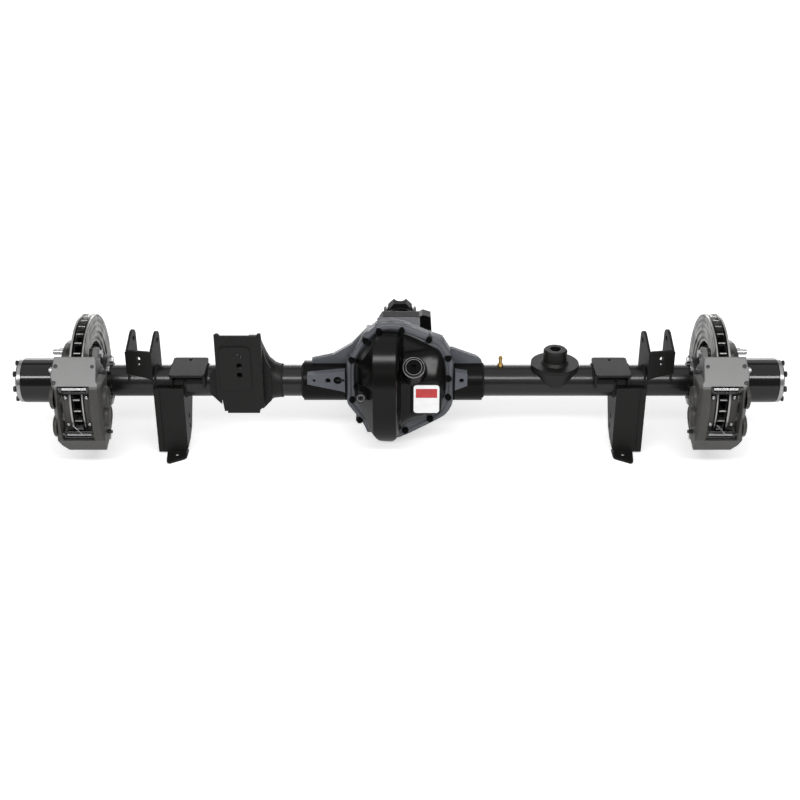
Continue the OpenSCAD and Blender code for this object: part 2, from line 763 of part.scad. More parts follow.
module pinion_nut() {
  paint_steel() difference() {
    translate([0, nut_y, 0]) rotate([-90, 0, 0]) union() {
      cylinder(r = 27, h = 4);
      cylinder(r = 25, h = 16, $fn = 6);
    }
    rod_y(16 + fit_clear, nut_y - 1, nut_y + 40);
  }
}

// Spring perches: flange on a short skirt, neck and bore
module spring_perch() {
  difference() {
    union() {
      translate([perch_x, 0, 0]) {
        cylinder(r1 = tube_r + 2, r2 = perch_d / 2, h = 44);
        translate([0, 0, 44]) cylinder(r = perch_d / 2, h = 8);
        translate([0, 0, 52]) cylinder(r1 = perch_neck / 2 + 5, r2 = perch_neck / 2, h = 8);
        translate([0, 0, 52]) cylinder(r = perch_neck / 2, h = perch_top - 56);
        translate([0, 0, perch_top - 4]) cylinder(r1 = perch_neck / 2, r2 = perch_neck / 2 - 4, h = 4);
      }
    }
    rod_x(tube_r, 0, tube_end);
    translate([perch_x, 0, 0]) cylinder(r = perch_bore / 2, h = 200);
  }
}

module spring_perches() {
  paint_black() {
    spring_perch();
    mirrored() spring_perch();
  }
}

// Clevis of the upper link, seen from its side: [y, z] points
upper_bolt_y = 25;

module upper_ear_shape() {
  difference() {
    union() {
      polygon([[-26, 0], [-26, 95], [0, 117], [upper_bolt_y - 14, upper_bolt_z + 19],
        [upper_bolt_y + 20, upper_bolt_z + 4], [upper_bolt_y + 20, 0]]);
      translate([upper_bolt_y, upper_bolt_z + 4]) circle(r = 20);
    }
    translate([upper_bolt_y, upper_bolt_z]) circle(r = upper_bolt_d / 2);
  }
}

module upper_link_bracket() {
  difference() {
    translate([upper_x, 0, 0]) rotate([0, 0, upper_yaw]) {
      half = upper_gap / 2;
      slab_x(-half - plate, -half) upper_ear_shape();
      slab_x(half, half + plate) upper_ear_shape();
      difference() {
        slab_y(-26 - plate, -26 - fit_clear) polygon([[-half - plate, 0], [-half - plate, 94],
          [-half + 2, 99], [half - 2, 99], [half + plate, 94], [half + plate, 0]]);
        translate([0, 0, 78]) rod_y(5.35, -60, 0);
        translate([0, 0, 61]) rod_y(3.5, -60, 0);
      }
    }
    rod_x(tube_r, 0, tube_end + 50);
  }
}

module left_upper_link_bracket() {
  paint_black() mirrored() upper_link_bracket();
}

module right_upper_link_bracket() {
  paint_black() upper_link_bracket();
}

// Bump-stop pad: a plate over two saddle ribs
module bump_pad() {
  difference() {
    union() {
      slab_z(tube_r + 1, tube_r + 1 + plate) difference() {
        union() {
          translate([bump_x + 8, -69]) square([bump_w - 16, 107]);
          translate([bump_x, -61]) square([bump_w, 91]);
          for (x = [bump_x + 8, bump_x + bump_w - 8], y = [-61, 30]) {
            translate([x, y]) circle(r = 8);
          }
        }
        translate([bump_x + bump_w / 2, 22]) circle(r = 5);
      }
      for (x = [bump_x, bump_x + bump_w - plate]) {
        slab_x(x, x + plate) polygon([[-58, tube_r + 2], [-50, 2], [30, 2], [28, tube_r + 2]]);
      }
    }
    rod_x(tube_r, 0, tube_end);
  }
}

module bump_stop_pads() {
  paint_black() {
    bump_pad();
    mirrored() bump_pad();
  }
}

// Side plate of the lower link bracket: [y, z] points
module lower_side_shape() {
  difference() {
    polygon([[-55, 4], [-55, -lower_z + 12], [-50, -lower_z + 8], [-8, -lower_z + 14], [26, -lower_z + 30],
      [70, -84], [78, -40], [60, 4]]);
    for (z = [lower_z - 48, lower_z - 78]) {
      translate([-2, -z]) circle(r = lower_bolt_d / 2);
    }
  }
}

// Two side plates, a panel behind them with a folded lip, and the shock tab
module lower_link_bracket() {
  x1 = lower_x + lower_w;
  difference() {
    union() {
      slab_x(lower_x, lower_x + plate) lower_side_shape();
      slab_x(x1 - plate, x1) lower_side_shape();
      slab_y(-55 - plate, -55 - fit_clear) polygon([[lower_x, 6], [x1, 6], [x1, -lower_z + fit_clear],
        [lower_x + 8, -lower_z + fit_clear], [lower_x, -lower_z + 10]]);
      slab_y(-58 - plate, -54 - plate) polygon([[x1 - 14, 4], [x1, 4], [x1, -lower_z + 4],
        [x1 - 10, -lower_z + 4], [x1 - 14, -lower_z + 16]]);
      shock_tab();
    }
    rod_x(tube_r, 0, tube_end + 50);
  }
}

// Shock tab: a flat plate under the panel, its rear edge askew
module shock_tab() {
  translate([lower_x, 0, -lower_z - plate]) linear_extrude(plate) difference() {
    polygon([[1, -46], [57, -46], [51, -106], [48, -112], [42, -114], [8, -93], [3, -88], [1, -82]]);
    translate([28, -73]) circle(r = 6.5);
  }
}

module left_lower_link_bracket() {
  paint_black() mirrored() lower_link_bracket();
}

module right_lower_link_bracket() {
  paint_black() lower_link_bracket();
}

// Track-bar bracket on the left tube
track_y = -74;

module track_holes() {
  x0 = -track_x - track_w;
  for (z = [54, 80]) {
    translate([x0 + 61, z]) circle(d = track_bolt_d);
  }
  translate([x0 + 57, 112]) circle(r = 3);
  translate([x0 + 64, 105]) circle(r = 3);
}

module track_plate_shape() {
  x0 = -track_x - track_w;
  x1 = -track_x;
  difference() {
    polygon([[x0, track_z - 16], [x0 + 3, track_z - 8], [x0 + 4, track_z], [x0 + 10, track_z],
      [x0 + 16, track_z - 6], [x1 - 12, track_z - 6], [x1 - 8, track_z], [x1, track_z], [x1, -40],
      [x1 - 10, -48], [x1 - 12, -58], [x0 + 38, -58], [x0 + 36, -52], [x0 + 16, -52], [x0 + 12, -20],
      [x0, -14]]);
    track_holes();
  }
}

module track_doubler_shape() {
  x0 = -track_x - track_w;
  difference() {
    union() {
      translate([x0 + 10, 10]) square([80, 108]);
      translate([x0 + 24, 10]) square([52, 122]);
      translate([x0 + 24, 118]) circle(r = 14);
      translate([x0 + 76, 118]) circle(r = 14);
    }
    track_holes();
  }
}

// Flares that reach along the tube on both sides of the bracket
module track_flares() {
  x0 = -track_x - track_w;
  x1 = -track_x;
  slab_y(-tube_r - 6, -tube_r + 2) {
    polygon([[x1 - plate, 140], [x1 + 2, 104], [x1 + 7, 80], [x1 + 18, 58], [x1 + 18, -34],
      [x1 - plate, -60]]);
    polygon([[x0 + plate, 66], [x0 - 10, 54], [x0 - 22, 34], [x0 - 22, -16], [x0 + plate, -46]]);
  }
}

module track_bar_bracket() {
  x0 = -track_x - track_w;
  x1 = -track_x;
  paint_black() difference() {
    union() {
      slab_y(track_y, track_y + plate) track_plate_shape();
      slab_y(track_y - 4, track_y + 1) track_doubler_shape();
      slab_x(x0, x0 + plate) polygon([[track_y, track_z], [-40, track_z - 20], [20, 64], [40, 40], [40, 0],
        [0, -30], [track_y, -22]]);
      slab_x(x1 - plate, x1) polygon([[track_y, track_z], [track_y + 14, track_z - 16], [track_y + 14, 54],
        [-62, 42], [-40, 42], [-40, -20], [-30, -48], [track_y, -40]]);
      slab_z(-58, -58 + plate) polygon([[x0 + 24, track_y], [x1 - 16, track_y], [x1 - 16, 0], [x0 + 24, 0]]);
      for (x = [x0 + 30, x1 - 30]) {
        slab_x(x, x + plate) polygon([[track_y + 1, -56], [0, -56], [30, -30], [track_y + 1, 10]]);
      }
      track_flares();
      rod_x(tube_r + 4, x1 - 4, x1 + 22);
    }
    rod_x(tube_r, -tube_end, 0);
    translate([-perch_x, 0, -1]) cylinder(r = perch_d / 2 + 0.3, h = 200);
  }
}

// Wheel end, drawn for the right side
module spindle() {
  difference() {
    spin_x([[spindle_bore_r, tube_end - 60], [tube_bore_r - fit_clear, tube_end - 60],
      [tube_bore_r - fit_clear, tube_end + fit_clear], [spindle_flange_r, tube_end + fit_clear],
      [spindle_flange_r, bracket_x - fit_clear], [spindle_in_r, bracket_x - fit_clear],
      [spindle_in_r, inner_bearing_x + bearing_w + 1], [spindle_out_r + 3, inner_bearing_x + bearing_w + 8],
      [spindle_out_r + 3, outer_bearing_x - 2], [spindle_out_r, outer_bearing_x - 2],
      [spindle_out_r, nut_x + nut_t + 3], [spindle_bore_r, nut_x + nut_t + 3]]);
    on_circle_x(6, spindle_bolt_r, 30) rod_x(5 + bolt_clear, tube_end - 1, bracket_x + 1);
  }
}

module spindle_nut() {
  difference() {
    translate([nut_x, 0, 0]) rotate([0, 90, 0]) cylinder(r = outer_cup_r - 2, h = nut_t, $fn = 6);
    rod_x(spindle_out_r + fit_clear, nut_x - 1, nut_x + nut_t + 1);
  }
}

module hub() {
  f1 = wheel_face - hat_wall - fit_clear;
  f0 = f1 - hub_flange_t;
  difference() {
    spin_x([[inner_cup_r, hub_start], [hub_r, hub_start], [hub_r, f0 - 14], [hub_r + 14, f0],
      [hub_flange_r, f0],
      [hub_flange_r, f1], [hub_r, f1], [hub_r, hub_end - 2], [hub_r - 2, hub_end], [outer_cup_r, hub_end],
      [outer_cup_r, outer_bearing_x], [outer_cup_r - 4, outer_bearing_x],
      [outer_cup_r - 4, inner_bearing_x + bearing_w + 6], [inner_cup_r - 6, inner_bearing_x + bearing_w],
      [inner_cup_r, inner_bearing_x + bearing_w]]);
    on_circle_x(stud_n, stud_pcd / 2) rod_x(stud_d / 2 + knurl + fit_clear, f0 - 1, f1 + 1);
    on_circle_x(8, flange_bolt_pcd / 2) rod_x(flange_bolt_d / 2 + fit_clear, hub_end - 30, hub_end + 1);
  }
}

module rotor() {
  difference() {
    union() {
      spin_x([[hat_r - 2, rotor_x0 + 5], [hat_r + 8, rotor_x0 + 5], [hat_r + 9, rotor_x0 + 2.5],
        [hat_r + 24, rotor_x0 + 2.5], [hat_r + 25, rotor_x0], [rotor_r - 2, rotor_x0],
        [rotor_r, rotor_x0 + 2], [rotor_r, rotor_x0 + rotor_plate], [hat_r - 2, rotor_x0 + rotor_plate]]);
      spin_x([[hat_r - hat_wall, rotor_x1 - rotor_plate], [rotor_r, rotor_x1 - rotor_plate],
        [rotor_r, rotor_x1], [hat_r + 3, rotor_x1], [hat_r, rotor_x1 + 3], [hat_r, wheel_face - 4],
        [hat_r - 4, wheel_face], [hub_r + fit_clear, wheel_face], [hub_r + fit_clear, wheel_face - hat_wall],
        [hat_r - hat_wall, wheel_face - hat_wall]]);
      for (i = [0:vane_n - 1]) {
        rotate([i * 360 / vane_n, 0, 0])
          translate([rotor_x0 + rotor_plate - 0.5, -1.75, hat_r + 4])
            cube([rotor_t - 2 * rotor_plate + 1, 3.5, rotor_r - hat_r - 6]);
      }
    }
    on_circle_x(stud_n, stud_pcd / 2)
      rod_x(stud_d / 2 + bolt_clear, wheel_face - hat_wall - 1, wheel_face + 1);
  }
}

// Press-fit swell of the studs in the hub flange, on the radius
knurl = 0.8;

// Shank of the studs in the rotor's holes, thicker than their thread on the radius
shank = 0.25;

module wheel_studs() {
  f1 = wheel_face - hat_wall - fit_clear;
  f0 = f1 - hub_flange_t;
  on_circle_x(stud_n, stud_pcd / 2) {
    rod_x(stud_d / 2, wheel_face, wheel_face + stud_out - 3);
    rod_x(stud_d / 2 + shank, f0, wheel_face + 1);
    rod_x(stud_d / 2 + knurl, f0 - 3, f1);
    rod_x(stud_d / 2 + 3.5, f0 - 6, f0 - fit_clear);
    rod_x(stud_d / 2 - 2, wheel_face + stud_out - 4, wheel_face + stud_out);
  }
}

module wheel_bearings() {
  ring_x(inner_cup_r - fit_clear, spindle_in_r + run_clear, inner_bearing_x,
    inner_bearing_x + bearing_w - fit_clear);
  ring_x(outer_cup_r - fit_clear, spindle_out_r + run_clear, outer_bearing_x + fit_clear,
    outer_bearing_x + bearing_w);
}

module hub_seal() {
  ring_x(inner_cup_r - fit_clear, spindle_in_r + run_clear, hub_start, hub_start + 7.8);
}

// Shaft with its outer flange and the splined side gear at the inner end
module axle_shaft() {
  difference() {
    union() {
      rod_x(shaft_r, side_gear_x - 5, hub_end + 2);
      spin_x([[0, side_gear_x - 3], [26, side_gear_x - 3], [36, side_gear_x + 6], [34, side_gear_x + 9],
        [24, side_gear_x + 14], [0, side_gear_x + 14]]);
      spin_x([[0, hub_end + fit_clear], [hub_r - 1, hub_end + fit_clear],
        [hub_r - 1, hub_end + shaft_flange_t - 4],
        [hub_r - 5, hub_end + shaft_flange_t], [shaft_r + 6, hub_end + shaft_flange_t],
        [shaft_r + 3, hub_end + shaft_flange_t - 3], [0, hub_end + shaft_flange_t - 3]]);
    }
    on_circle_x(8, flange_bolt_pcd / 2) rod_x(flange_bolt_d / 2 + bolt_clear, hub_end - 1, hub_end + 40);
  }
}

module flange_bolts() {
  on_circle_x(8, flange_bolt_pcd / 2) translate([hub_end + shaft_flange_t + fit_clear, 0, 0])
    bolt_x(flange_bolt_d, shaft_flange_t + 22);
}

// Brakes; the caliper's middle lies along -Y in this frame
module caliper_frame() {
  rotate([-caliper_clock, 0, 0]) children();
}

function polar(a, r) = [-r * cos(a), r * sin(a)];

// The same outline direction on both sides
function turned(s, pts) = s < 0 ? pts : [for (i = [len(pts) - 1:-1:0]) pts[i]];

module caliper_side() {
  difference() {
    intersection() {
      circle(r = caliper_r);
      polygon([[0, 0], polar(caliper_half, caliper_r - 9), polar(16, caliper_r + 2), polar(0, caliper_r + 3),
        polar(-24, caliper_r + 2), polar(-caliper_low, caliper_r - 8)]);
    }
    circle(r = 118);
  }
}

// Outline seen along the caliper's middle: [x, z] points
module caliper_front() {
  o = rotor_mid + caliper_out;
  i = rotor_mid - caliper_in;
  polygon([[o - 12, 140], [o - 7, 112], [o, 76], [o, 20], [o - 2, -30], [o - 3, -80], [o - 9, -112],
    [o - 20, -132], [o - 34, -148], [o - 46, -164], [i + 24, -160], [i + 8, -136], [i + 3, -110], [i, -74],
    [i, 60], [i + 10, 74], [i + 12, 118], [i + 22, 140]]);
}

// Outline seen from above, with its rear corners cut: [x, y] points
module caliper_plan() {
  o = rotor_mid + caliper_out;
  i = rotor_mid - caliper_in;
  polygon([[i, -60], [o, -60], [o, -caliper_r + 34], [o - 5, -caliper_r + 22], [o - 19, -caliper_r - 4],
    [i + 20, -caliper_r - 4], [i + 6, -caliper_r + 10], [i, -caliper_r + 26]]);
}

// Angle of the two ears from the caliper's middle
function ear_angle(s) = s > 0 ? caliper_half + 9 : caliper_low + 9;

module caliper_ear_shape() {
  for (s = [-1, 1]) {
    translate(polar(s * ear_angle(s), ear_r)) circle(r = 16);
    polygon(turned(s, [polar(s * (ear_angle(s) - 14), ear_r - 18), polar(s * (ear_angle(s) - 14), ear_r + 20),
      polar(s * ear_angle(s), ear_r + 16), polar(s * ear_angle(s), ear_r - 16)]));
  }
}

module at_pistons() {
  for (a = piston_angles) {
    translate([0, polar(a, piston_mid_r)[0], polar(a, piston_mid_r)[1]]) children();
  }
}

module at_pins() {
  for (z = pin_zs) {
    translate([0, -sqrt(pin_r * pin_r - z * z), z]) children();
  }
}

module caliper() {
  i = rotor_mid - caliper_in;
  o = rotor_mid + caliper_out;
  caliper_frame() difference() {
    union() {
      intersection() {
        slab_x(i - 10, o + 10) caliper_side();
        slab_y(-300, -60) caliper_front();
        slab_z(-200, 200) caliper_plan();
      }
      intersection() {
        at_pistons() rod_x(piston_r + 8, i - 7, rotor_x0 - 30);
        slab_x(i - 10, o + 10) caliper_side();
      }
      slab_x(bracket_x - 14, bracket_x - fit_clear) caliper_ear_shape();
    }
    rod_x(rotor_r + 4, rotor_x0 - 3, rotor_x1 + 3);
    translate([pad_in0 - 3, -300, window_z0]) cube([pad_out1 - pad_in0 + 6, 240, window_z1 - window_z0]);
    at_pistons() rod_x(piston_r + run_clear, pad_in0 - piston_len - 3, pad_out1 + piston_len + 3);
    at_pins() rod_x(pad_pin_r + fit_clear, pad_in0 - 16, pad_out1 + 10);
    for (s = [-1, 1]) {
      p = polar(s * ear_angle(s), ear_r);
      translate([0, p[0], p[1]]) rod_x(caliper_bolt_d / 2 + bolt_clear, bracket_x - 20, bracket_x + 1);
      q = polar(s * 29, 168);
      translate([0, q[0], q[1]]) rod_x(4 + fit_clear, i - 20, i + 14);
    }
  }
}

module bleed_screw_pair() {
  i = rotor_mid - caliper_in;
  caliper_frame() for (s = [-1, 1]) {
    q = polar(s * 29, 168);
    translate([0, q[0], q[1]]) {
      rod_x(4, i - 12, i + 12);
      translate([i - 8, 0, 0]) rotate([0, 90, 0]) cylinder(r = 6.5, h = 7.5, $fn = 6);
    }
  }
}

module caliper_bracket() {
  difference() {
    caliper_frame() slab_x(bracket_x, bracket_x + bracket_t) union() {
      circle(r = spindle_flange_r);
      intersection() {
        circle(r = 110);
        polygon([[0, 0], polar(ear_angle(1), 300), polar(0, 420), polar(-ear_angle(-1), 300)]);
      }
      for (s = [-1, 1]) {
        translate(polar(s * ear_angle(s), ear_r)) circle(r = 15);
        polygon(turned(s, [polar(s * (ear_angle(s) - 12), 40), polar(s * (ear_angle(s) - 5.5), ear_r),
          polar(s * (ear_angle(s) + 5.5), ear_r), polar(s * (ear_angle(s) + 24), 62)]));
      }
    }
    rod_x(spindle_in_r + fit_clear, bracket_x - 1, bracket_x + 40);
    on_circle_x(6, spindle_bolt_r, 30) rod_x(5 + bolt_clear, bracket_x - 1, bracket_x + 40);
    caliper_frame() for (s = [-1, 1]) {
      p = polar(s * ear_angle(s), ear_r);
      translate([0, p[0], p[1]]) rod_x(caliper_bolt_d / 2 + fit_clear, bracket_x - 1, bracket_x + 40);
    }
  }
}

module caliper_bolt_set() {
  caliper_frame() for (s = [-1, 1]) {
    p = polar(s * ear_angle(s), ear_r);
    translate([bracket_x - 14 - fit_clear, p[0], p[1]]) mirror([1, 0, 0])
      bolt_x(caliper_bolt_d, 14 + bracket_t - 0.5);
  }
  on_circle_x(6, spindle_bolt_r, 30)
    translate([tube_end - fit_clear, 0, 0]) mirror([1, 0, 0])
      bolt_x(10, spindle_flange_t + bracket_t - 0.5);
}

module pad_pin_pair() {
  caliper_frame() at_pins() rod_x(pad_pin_r, pad_in0 - 15, pad_out1 + 9);
}

module pad_flat(r0, r1) {
  intersection() {
    difference() {
      circle(r = r1);
      circle(r = r0);
    }
    polygon([[0, 0], polar(pad_mid + pad_half, 300), polar(pad_mid, 420), polar(pad_mid - pad_half, 300)]);
  }
}

module pad_plate_shape() {
  difference() {
    union() {
      pad_flat(pad_r0 - 1, pad_r1);
      for (z = pin_zs) {
        rotate([0, 0, -asin(z / pin_r)]) translate([-pin_r - 8, -8]) square([40, 16]);
      }
    }
    for (z = pin_zs) {
      translate([-sqrt(pin_r * pin_r - z * z), z]) circle(r = pad_pin_r + run_clear);
    }
  }
}

// The plate lies at x0 and the lining beside it
module pad(plate_x, lining_x) {
  caliper_frame() {
    slab_x(plate_x, plate_x + pad_plate) pad_plate_shape();
    slab_x(lining_x, lining_x + lining_t + 0.2) pad_flat(pad_r0, pad_r1 - 1);
  }
}

module outer_pad() {
  pad(pad_out1 - pad_plate, pad_out1 - pad_plate - lining_t);
}

module inner_pad() {
  pad(pad_in0, pad_in0 + pad_plate - 0.2);
}

module outer_pistons() {
  caliper_frame() at_pistons() ring_x(piston_r, piston_r - 6, pad_out1 + fit_clear, pad_out1 + piston_len);
}

module inner_pistons() {
  caliper_frame() at_pistons() ring_x(piston_r, piston_r - 6, pad_in0 - piston_len, pad_in0 - fit_clear);
}

module left_spindle() {
  paint_dark() mirrored() spindle();
}

module right_spindle() {
  paint_dark() spindle();
}

module spindle_nuts() {
  paint_steel() {
    spindle_nut();
    mirrored() spindle_nut();
  }
}

module left_caliper_bracket() {
  paint_black() mirrored() caliper_bracket();
}

module right_caliper_bracket() {
  paint_black() caliper_bracket();
}

module left_caliper() {
  paint_cast() mirrored() caliper();
}

module right_caliper() {
  paint_cast() caliper();
}

module caliper_bolts() {
  paint_steel() {
    caliper_bolt_set();
    mirrored() caliper_bolt_set();
  }
}

module pad_pins() {
  paint_steel() {
    pad_pin_pair();
    mirrored() pad_pin_pair();
  }
}

module bleed_screws() {
  paint_dark() {
    bleed_screw_pair();
    mirrored() bleed_screw_pair();
  }
}

module left_outer_pad() {
  paint_dark() mirrored() outer_pad();
}

module left_inner_pad() {
  paint_dark() mirrored() inner_pad();
}

module right_outer_pad() {
  paint_dark() outer_pad();
}

module right_inner_pad() {
  paint_dark() inner_pad();
}

module left_outer_pistons() {
  paint_steel() mirrored() outer_pistons();
}

module left_inner_pistons() {
  paint_steel() mirrored() inner_pistons();
}

module right_outer_pistons() {
  paint_steel() outer_pistons();
}

module right_inner_pistons() {
  paint_steel() inner_pistons();
}

module left_hub() {
  paint_dark() mirrored() hub();
}

module right_hub() {
  paint_dark() hub();
}

module left_rotor() {
  paint_steel() mirrored() rotor();
}

module right_rotor() {
  paint_steel() rotor();
}

module left_wheel_studs() {
  paint_steel() mirrored() wheel_studs();
}

module right_wheel_studs() {
  paint_steel() wheel_studs();
}

module left_wheel_bearings() {
  paint_steel() mirrored() wheel_bearings();
}

module right_wheel_bearings() {
  paint_steel() wheel_bearings();
}

module left_hub_seal() {
  paint_dark() mirrored() hub_seal();
}

module right_hub_seal() {
  paint_dark() hub_seal();
}

module left_axle_shaft() {
  paint_steel() mirrored() axle_shaft();
}

module right_axle_shaft() {
  paint_steel() axle_shaft();
}

module left_flange_bolts() {
  paint_dark() mirrored() flange_bolts();
}

module right_flange_bolts() {
  paint_dark() flange_bolts();
}

centre_housing();
left_axle_tube();
right_axle_tube();
diff_cover();
cover_bolts();
fill_plug();
drain_plug();
cover_badge();
vent_fitting();
bearing_caps();
cap_bolts();
pinion_seal();
spring_perches();
track_bar_bracket();
left_upper_link_bracket();
right_upper_link_bracket();
bump_stop_pads();
left_lower_link_bracket();
right_lower_link_bracket();
left_spindle();
right_spindle();
spindle_nuts();
left_caliper_bracket();
right_caliper_bracket();
left_caliper();
right_caliper();
caliper_bolts();
pad_pins();
bleed_screws();
left_outer_pad();
left_inner_pad();
right_outer_pad();
right_inner_pad();
left_outer_pistons();
left_inner_pistons();
right_outer_pistons();
right_inner_pistons();
left_hub();
right_hub();
left_rotor();
right_rotor();
left_wheel_studs();
right_wheel_studs();
left_wheel_bearings();
right_wheel_bearings();
left_hub_seal();
right_hub_seal();
left_axle_shaft();
right_axle_shaft();
left_flange_bolts();
right_flange_bolts();
diff_case();
ring_gear();
ring_gear_bolts();
carrier_bearings();
cross_pin();
pinion_gear();
pinion_bearings();
pinion_yoke();
pinion_nut();
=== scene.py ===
import json
import math

import bmesh
import bpy
import numpy as np
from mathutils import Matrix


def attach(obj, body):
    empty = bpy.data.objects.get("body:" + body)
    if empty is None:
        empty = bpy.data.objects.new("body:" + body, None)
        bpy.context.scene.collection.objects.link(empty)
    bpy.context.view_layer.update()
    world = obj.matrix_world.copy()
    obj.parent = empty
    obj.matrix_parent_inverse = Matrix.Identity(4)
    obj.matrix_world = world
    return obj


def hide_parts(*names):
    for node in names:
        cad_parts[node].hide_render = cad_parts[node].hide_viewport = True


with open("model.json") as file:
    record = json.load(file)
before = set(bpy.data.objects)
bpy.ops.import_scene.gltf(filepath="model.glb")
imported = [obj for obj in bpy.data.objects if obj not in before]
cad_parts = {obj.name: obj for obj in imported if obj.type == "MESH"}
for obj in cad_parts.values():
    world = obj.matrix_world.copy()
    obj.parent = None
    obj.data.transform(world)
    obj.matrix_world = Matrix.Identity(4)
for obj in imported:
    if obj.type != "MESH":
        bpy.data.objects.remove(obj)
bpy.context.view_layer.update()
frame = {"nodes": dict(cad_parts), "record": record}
nodes = frame["nodes"]
scene = bpy.context.scene

# Places in the shared frame, in metres: X is the wheel axis, the cover faces -Y and Z is up.
# The floor lies just under the lowest point of the part.
ROTOR_MID = 0.811
FLOOR_Z = -0.1882

# Rings of the rotor's faces, in radians per metre of distance from the axis
ROTOR_BANDS, ROTOR_LINES = 430.0, 6200.0

# Where one finish fades into the next, in metres, as (from, to); across the boss, nose and panel edges
# painted light fades in
BOSS_EDGE = (0.0531, 0.0545)
NOSE_EDGE = (0.120, 0.100)
PANEL_EDGE = (0.054, 0.058)
RIM_EDGE = (0.1722, 0.1732)
RIM_LINE_EDGE = (0.0125, 0.0135)
VANE_SIDE_EDGE = (0.0092, 0.0088)
VANE_TIP_EDGE = (0.158, 0.164)
HAT_EDGE = (0.8296, 0.8304)
CALIPER_SLOPE = 0.0828

# Painted light, a lighter tint standing in for light and the floor's reflection: its darkest share of the
# tint, and how much shine it adds
PAINTED_LIGHT_DARKEST, PAINTED_LIGHT_SHINE = 0.75, 0.6


# Node helpers
def maths(tree, op, a, b=None):
    """One Math node; a and b are sockets or plain numbers."""
    n = tree.nodes.new("ShaderNodeMath")
    n.operation = op
    for i, v in enumerate((a, b)):
        if v is None:
            continue
        if isinstance(v, (int, float)):
            n.inputs[i].default_value = v
        else:
            tree.links.new(v, n.inputs[i])
    return n.outputs[0]


def times(tree, a, b):
    """The product of two values."""
    return maths(tree, "MULTIPLY", a, b)


def plus(tree, a, b):
    """The sum of two values."""
    return maths(tree, "ADD", a, b)


def parts(tree, where):
    """The x, y and z of a place."""
    n = tree.nodes.new("ShaderNodeSeparateXYZ")
    tree.links.new(where, n.inputs[0])
    return n.outputs[0], n.outputs[1], n.outputs[2]


def fade(tree, value, span, ends=(0.0, 1.0)):
    """From ends[0] where a value is span[0], straight to ends[1] where it is span[1], and level beyond."""
    (lo, at_lo), (hi, at_hi) = sorted(zip(span, ends))
    n = tree.nodes.new("ShaderNodeMapRange")
    tree.links.new(value, n.inputs["Value"])
    n.inputs["From Min"].default_value = lo
    n.inputs["From Max"].default_value = hi
    n.inputs["To Min"].default_value = at_lo
    n.inputs["To Max"].default_value = at_hi
    return n.outputs["Result"]


def ramp(tree, fac, stops):
    """A colour ramp: stops are (place, grey or colour)."""
    n = tree.nodes.new("ShaderNodeValToRGB")
    while len(n.color_ramp.elements) < len(stops):
        n.color_ramp.elements.new(0.5)
    for e, (at, c) in zip(n.color_ramp.elements, stops):
        e.position = at
        e.color = (c, c, c, 1) if isinstance(c, (int, float)) else (*c, 1)
    tree.links.new(fac, n.inputs[0])
    return n.outputs[0]


def blend(tree, share, under, over):
    """One colour where share is 0 and another where it is 1."""
    n = tree.nodes.new("ShaderNodeMix")
    n.data_type = "RGBA"
    # A Mix node has sockets for each type of data: 6 and 7 are its colours, and output 2 is the mixed one
    tree.links.new(share, n.inputs["Factor"])
    tree.links.new(under, n.inputs[6])
    tree.links.new(over, n.inputs[7])
    return n.outputs[2]


def noise(tree, where, scale, detail=4.0, rough=0.55):
    """Noise at a place, with its scale in waves per metre."""
    n = tree.nodes.new("ShaderNodeTexNoise")
    n.inputs["Scale"].default_value = scale
    n.inputs["Detail"].default_value = detail
    n.inputs["Roughness"].default_value = rough
    tree.links.new(where, n.inputs["Vector"])
    return n.outputs["Fac"]


def bump(tree, height, normal, strength, distance):
    """A Bump node over a normal."""
    n = tree.nodes.new("ShaderNodeBump")
    n.inputs["Strength"].default_value = strength
    n.inputs["Distance"].default_value = distance
    tree.links.new(height, n.inputs["Height"])
    tree.links.new(normal, n.inputs["Normal"])
    return n.outputs["Normal"]


def start(name, edge=0.0015):
    """A new material: its tree, shader, object coordinates and a normal that rounds the edges."""
    m = bpy.data.materials.new(name)
    m.use_nodes = True
    t = m.node_tree
    shader = t.nodes["Principled BSDF"]
    where = t.nodes.new("ShaderNodeTexCoord").outputs["Object"]
    soft = t.nodes.new("ShaderNodeBevel")
    soft.samples = 6
    soft.inputs["Radius"].default_value = edge
    return m, t, shader, where, soft.outputs["Normal"]


def wear(tree, shader, colour, gloss, normal):
    """Links a shader's colour, roughness and normal."""
    tree.links.new(colour, shader.inputs["Base Color"])
    tree.links.new(gloss, shader.inputs["Roughness"])
    tree.links.new(normal, shader.inputs["Normal"])


# Shares of a surface that get painted light: a lighter tint where faces catch light or reflect the floor
def off_axis(tree, where):
    """Distance of a place from the wheel axis."""
    _, y, z = parts(tree, where)
    return maths(tree, "SQRT", plus(tree, times(tree, y, y), times(tree, z, z)))


def painted_light_on_casting(tree, where):
    """Painted light: 1 on the casting's webs, pads and bowl, tinted lighter as if lit and reflecting the
    floor, 0 on the round bosses that hold the tubes and on the nose.
    """
    _, y, _ = parts(tree, where)
    return times(tree, fade(tree, off_axis(tree, where), BOSS_EDGE), fade(tree, y, NOSE_EDGE))


def painted_light_on_panel(tree, where):
    """Painted light: 1 on a caliper's upper slope, tinted lighter as if lit from above, 0 below it: the
    height across its lean.
    """
    _, y, z = parts(tree, where)
    return fade(tree, plus(tree, times(tree, y, CALIPER_SLOPE), z), PANEL_EDGE)


def painted_light_on_rim(tree, where):
    """Painted light: 1 on the cover's rim and bolt face, tinted lighter as if reflecting the floor, 0 on
    its barrel and dome, from the mesh's own attribute.
    """
    n = tree.nodes.new("ShaderNodeAttribute")
    n.attribute_name = "rim_painted_light"
    return n.outputs["Fac"]


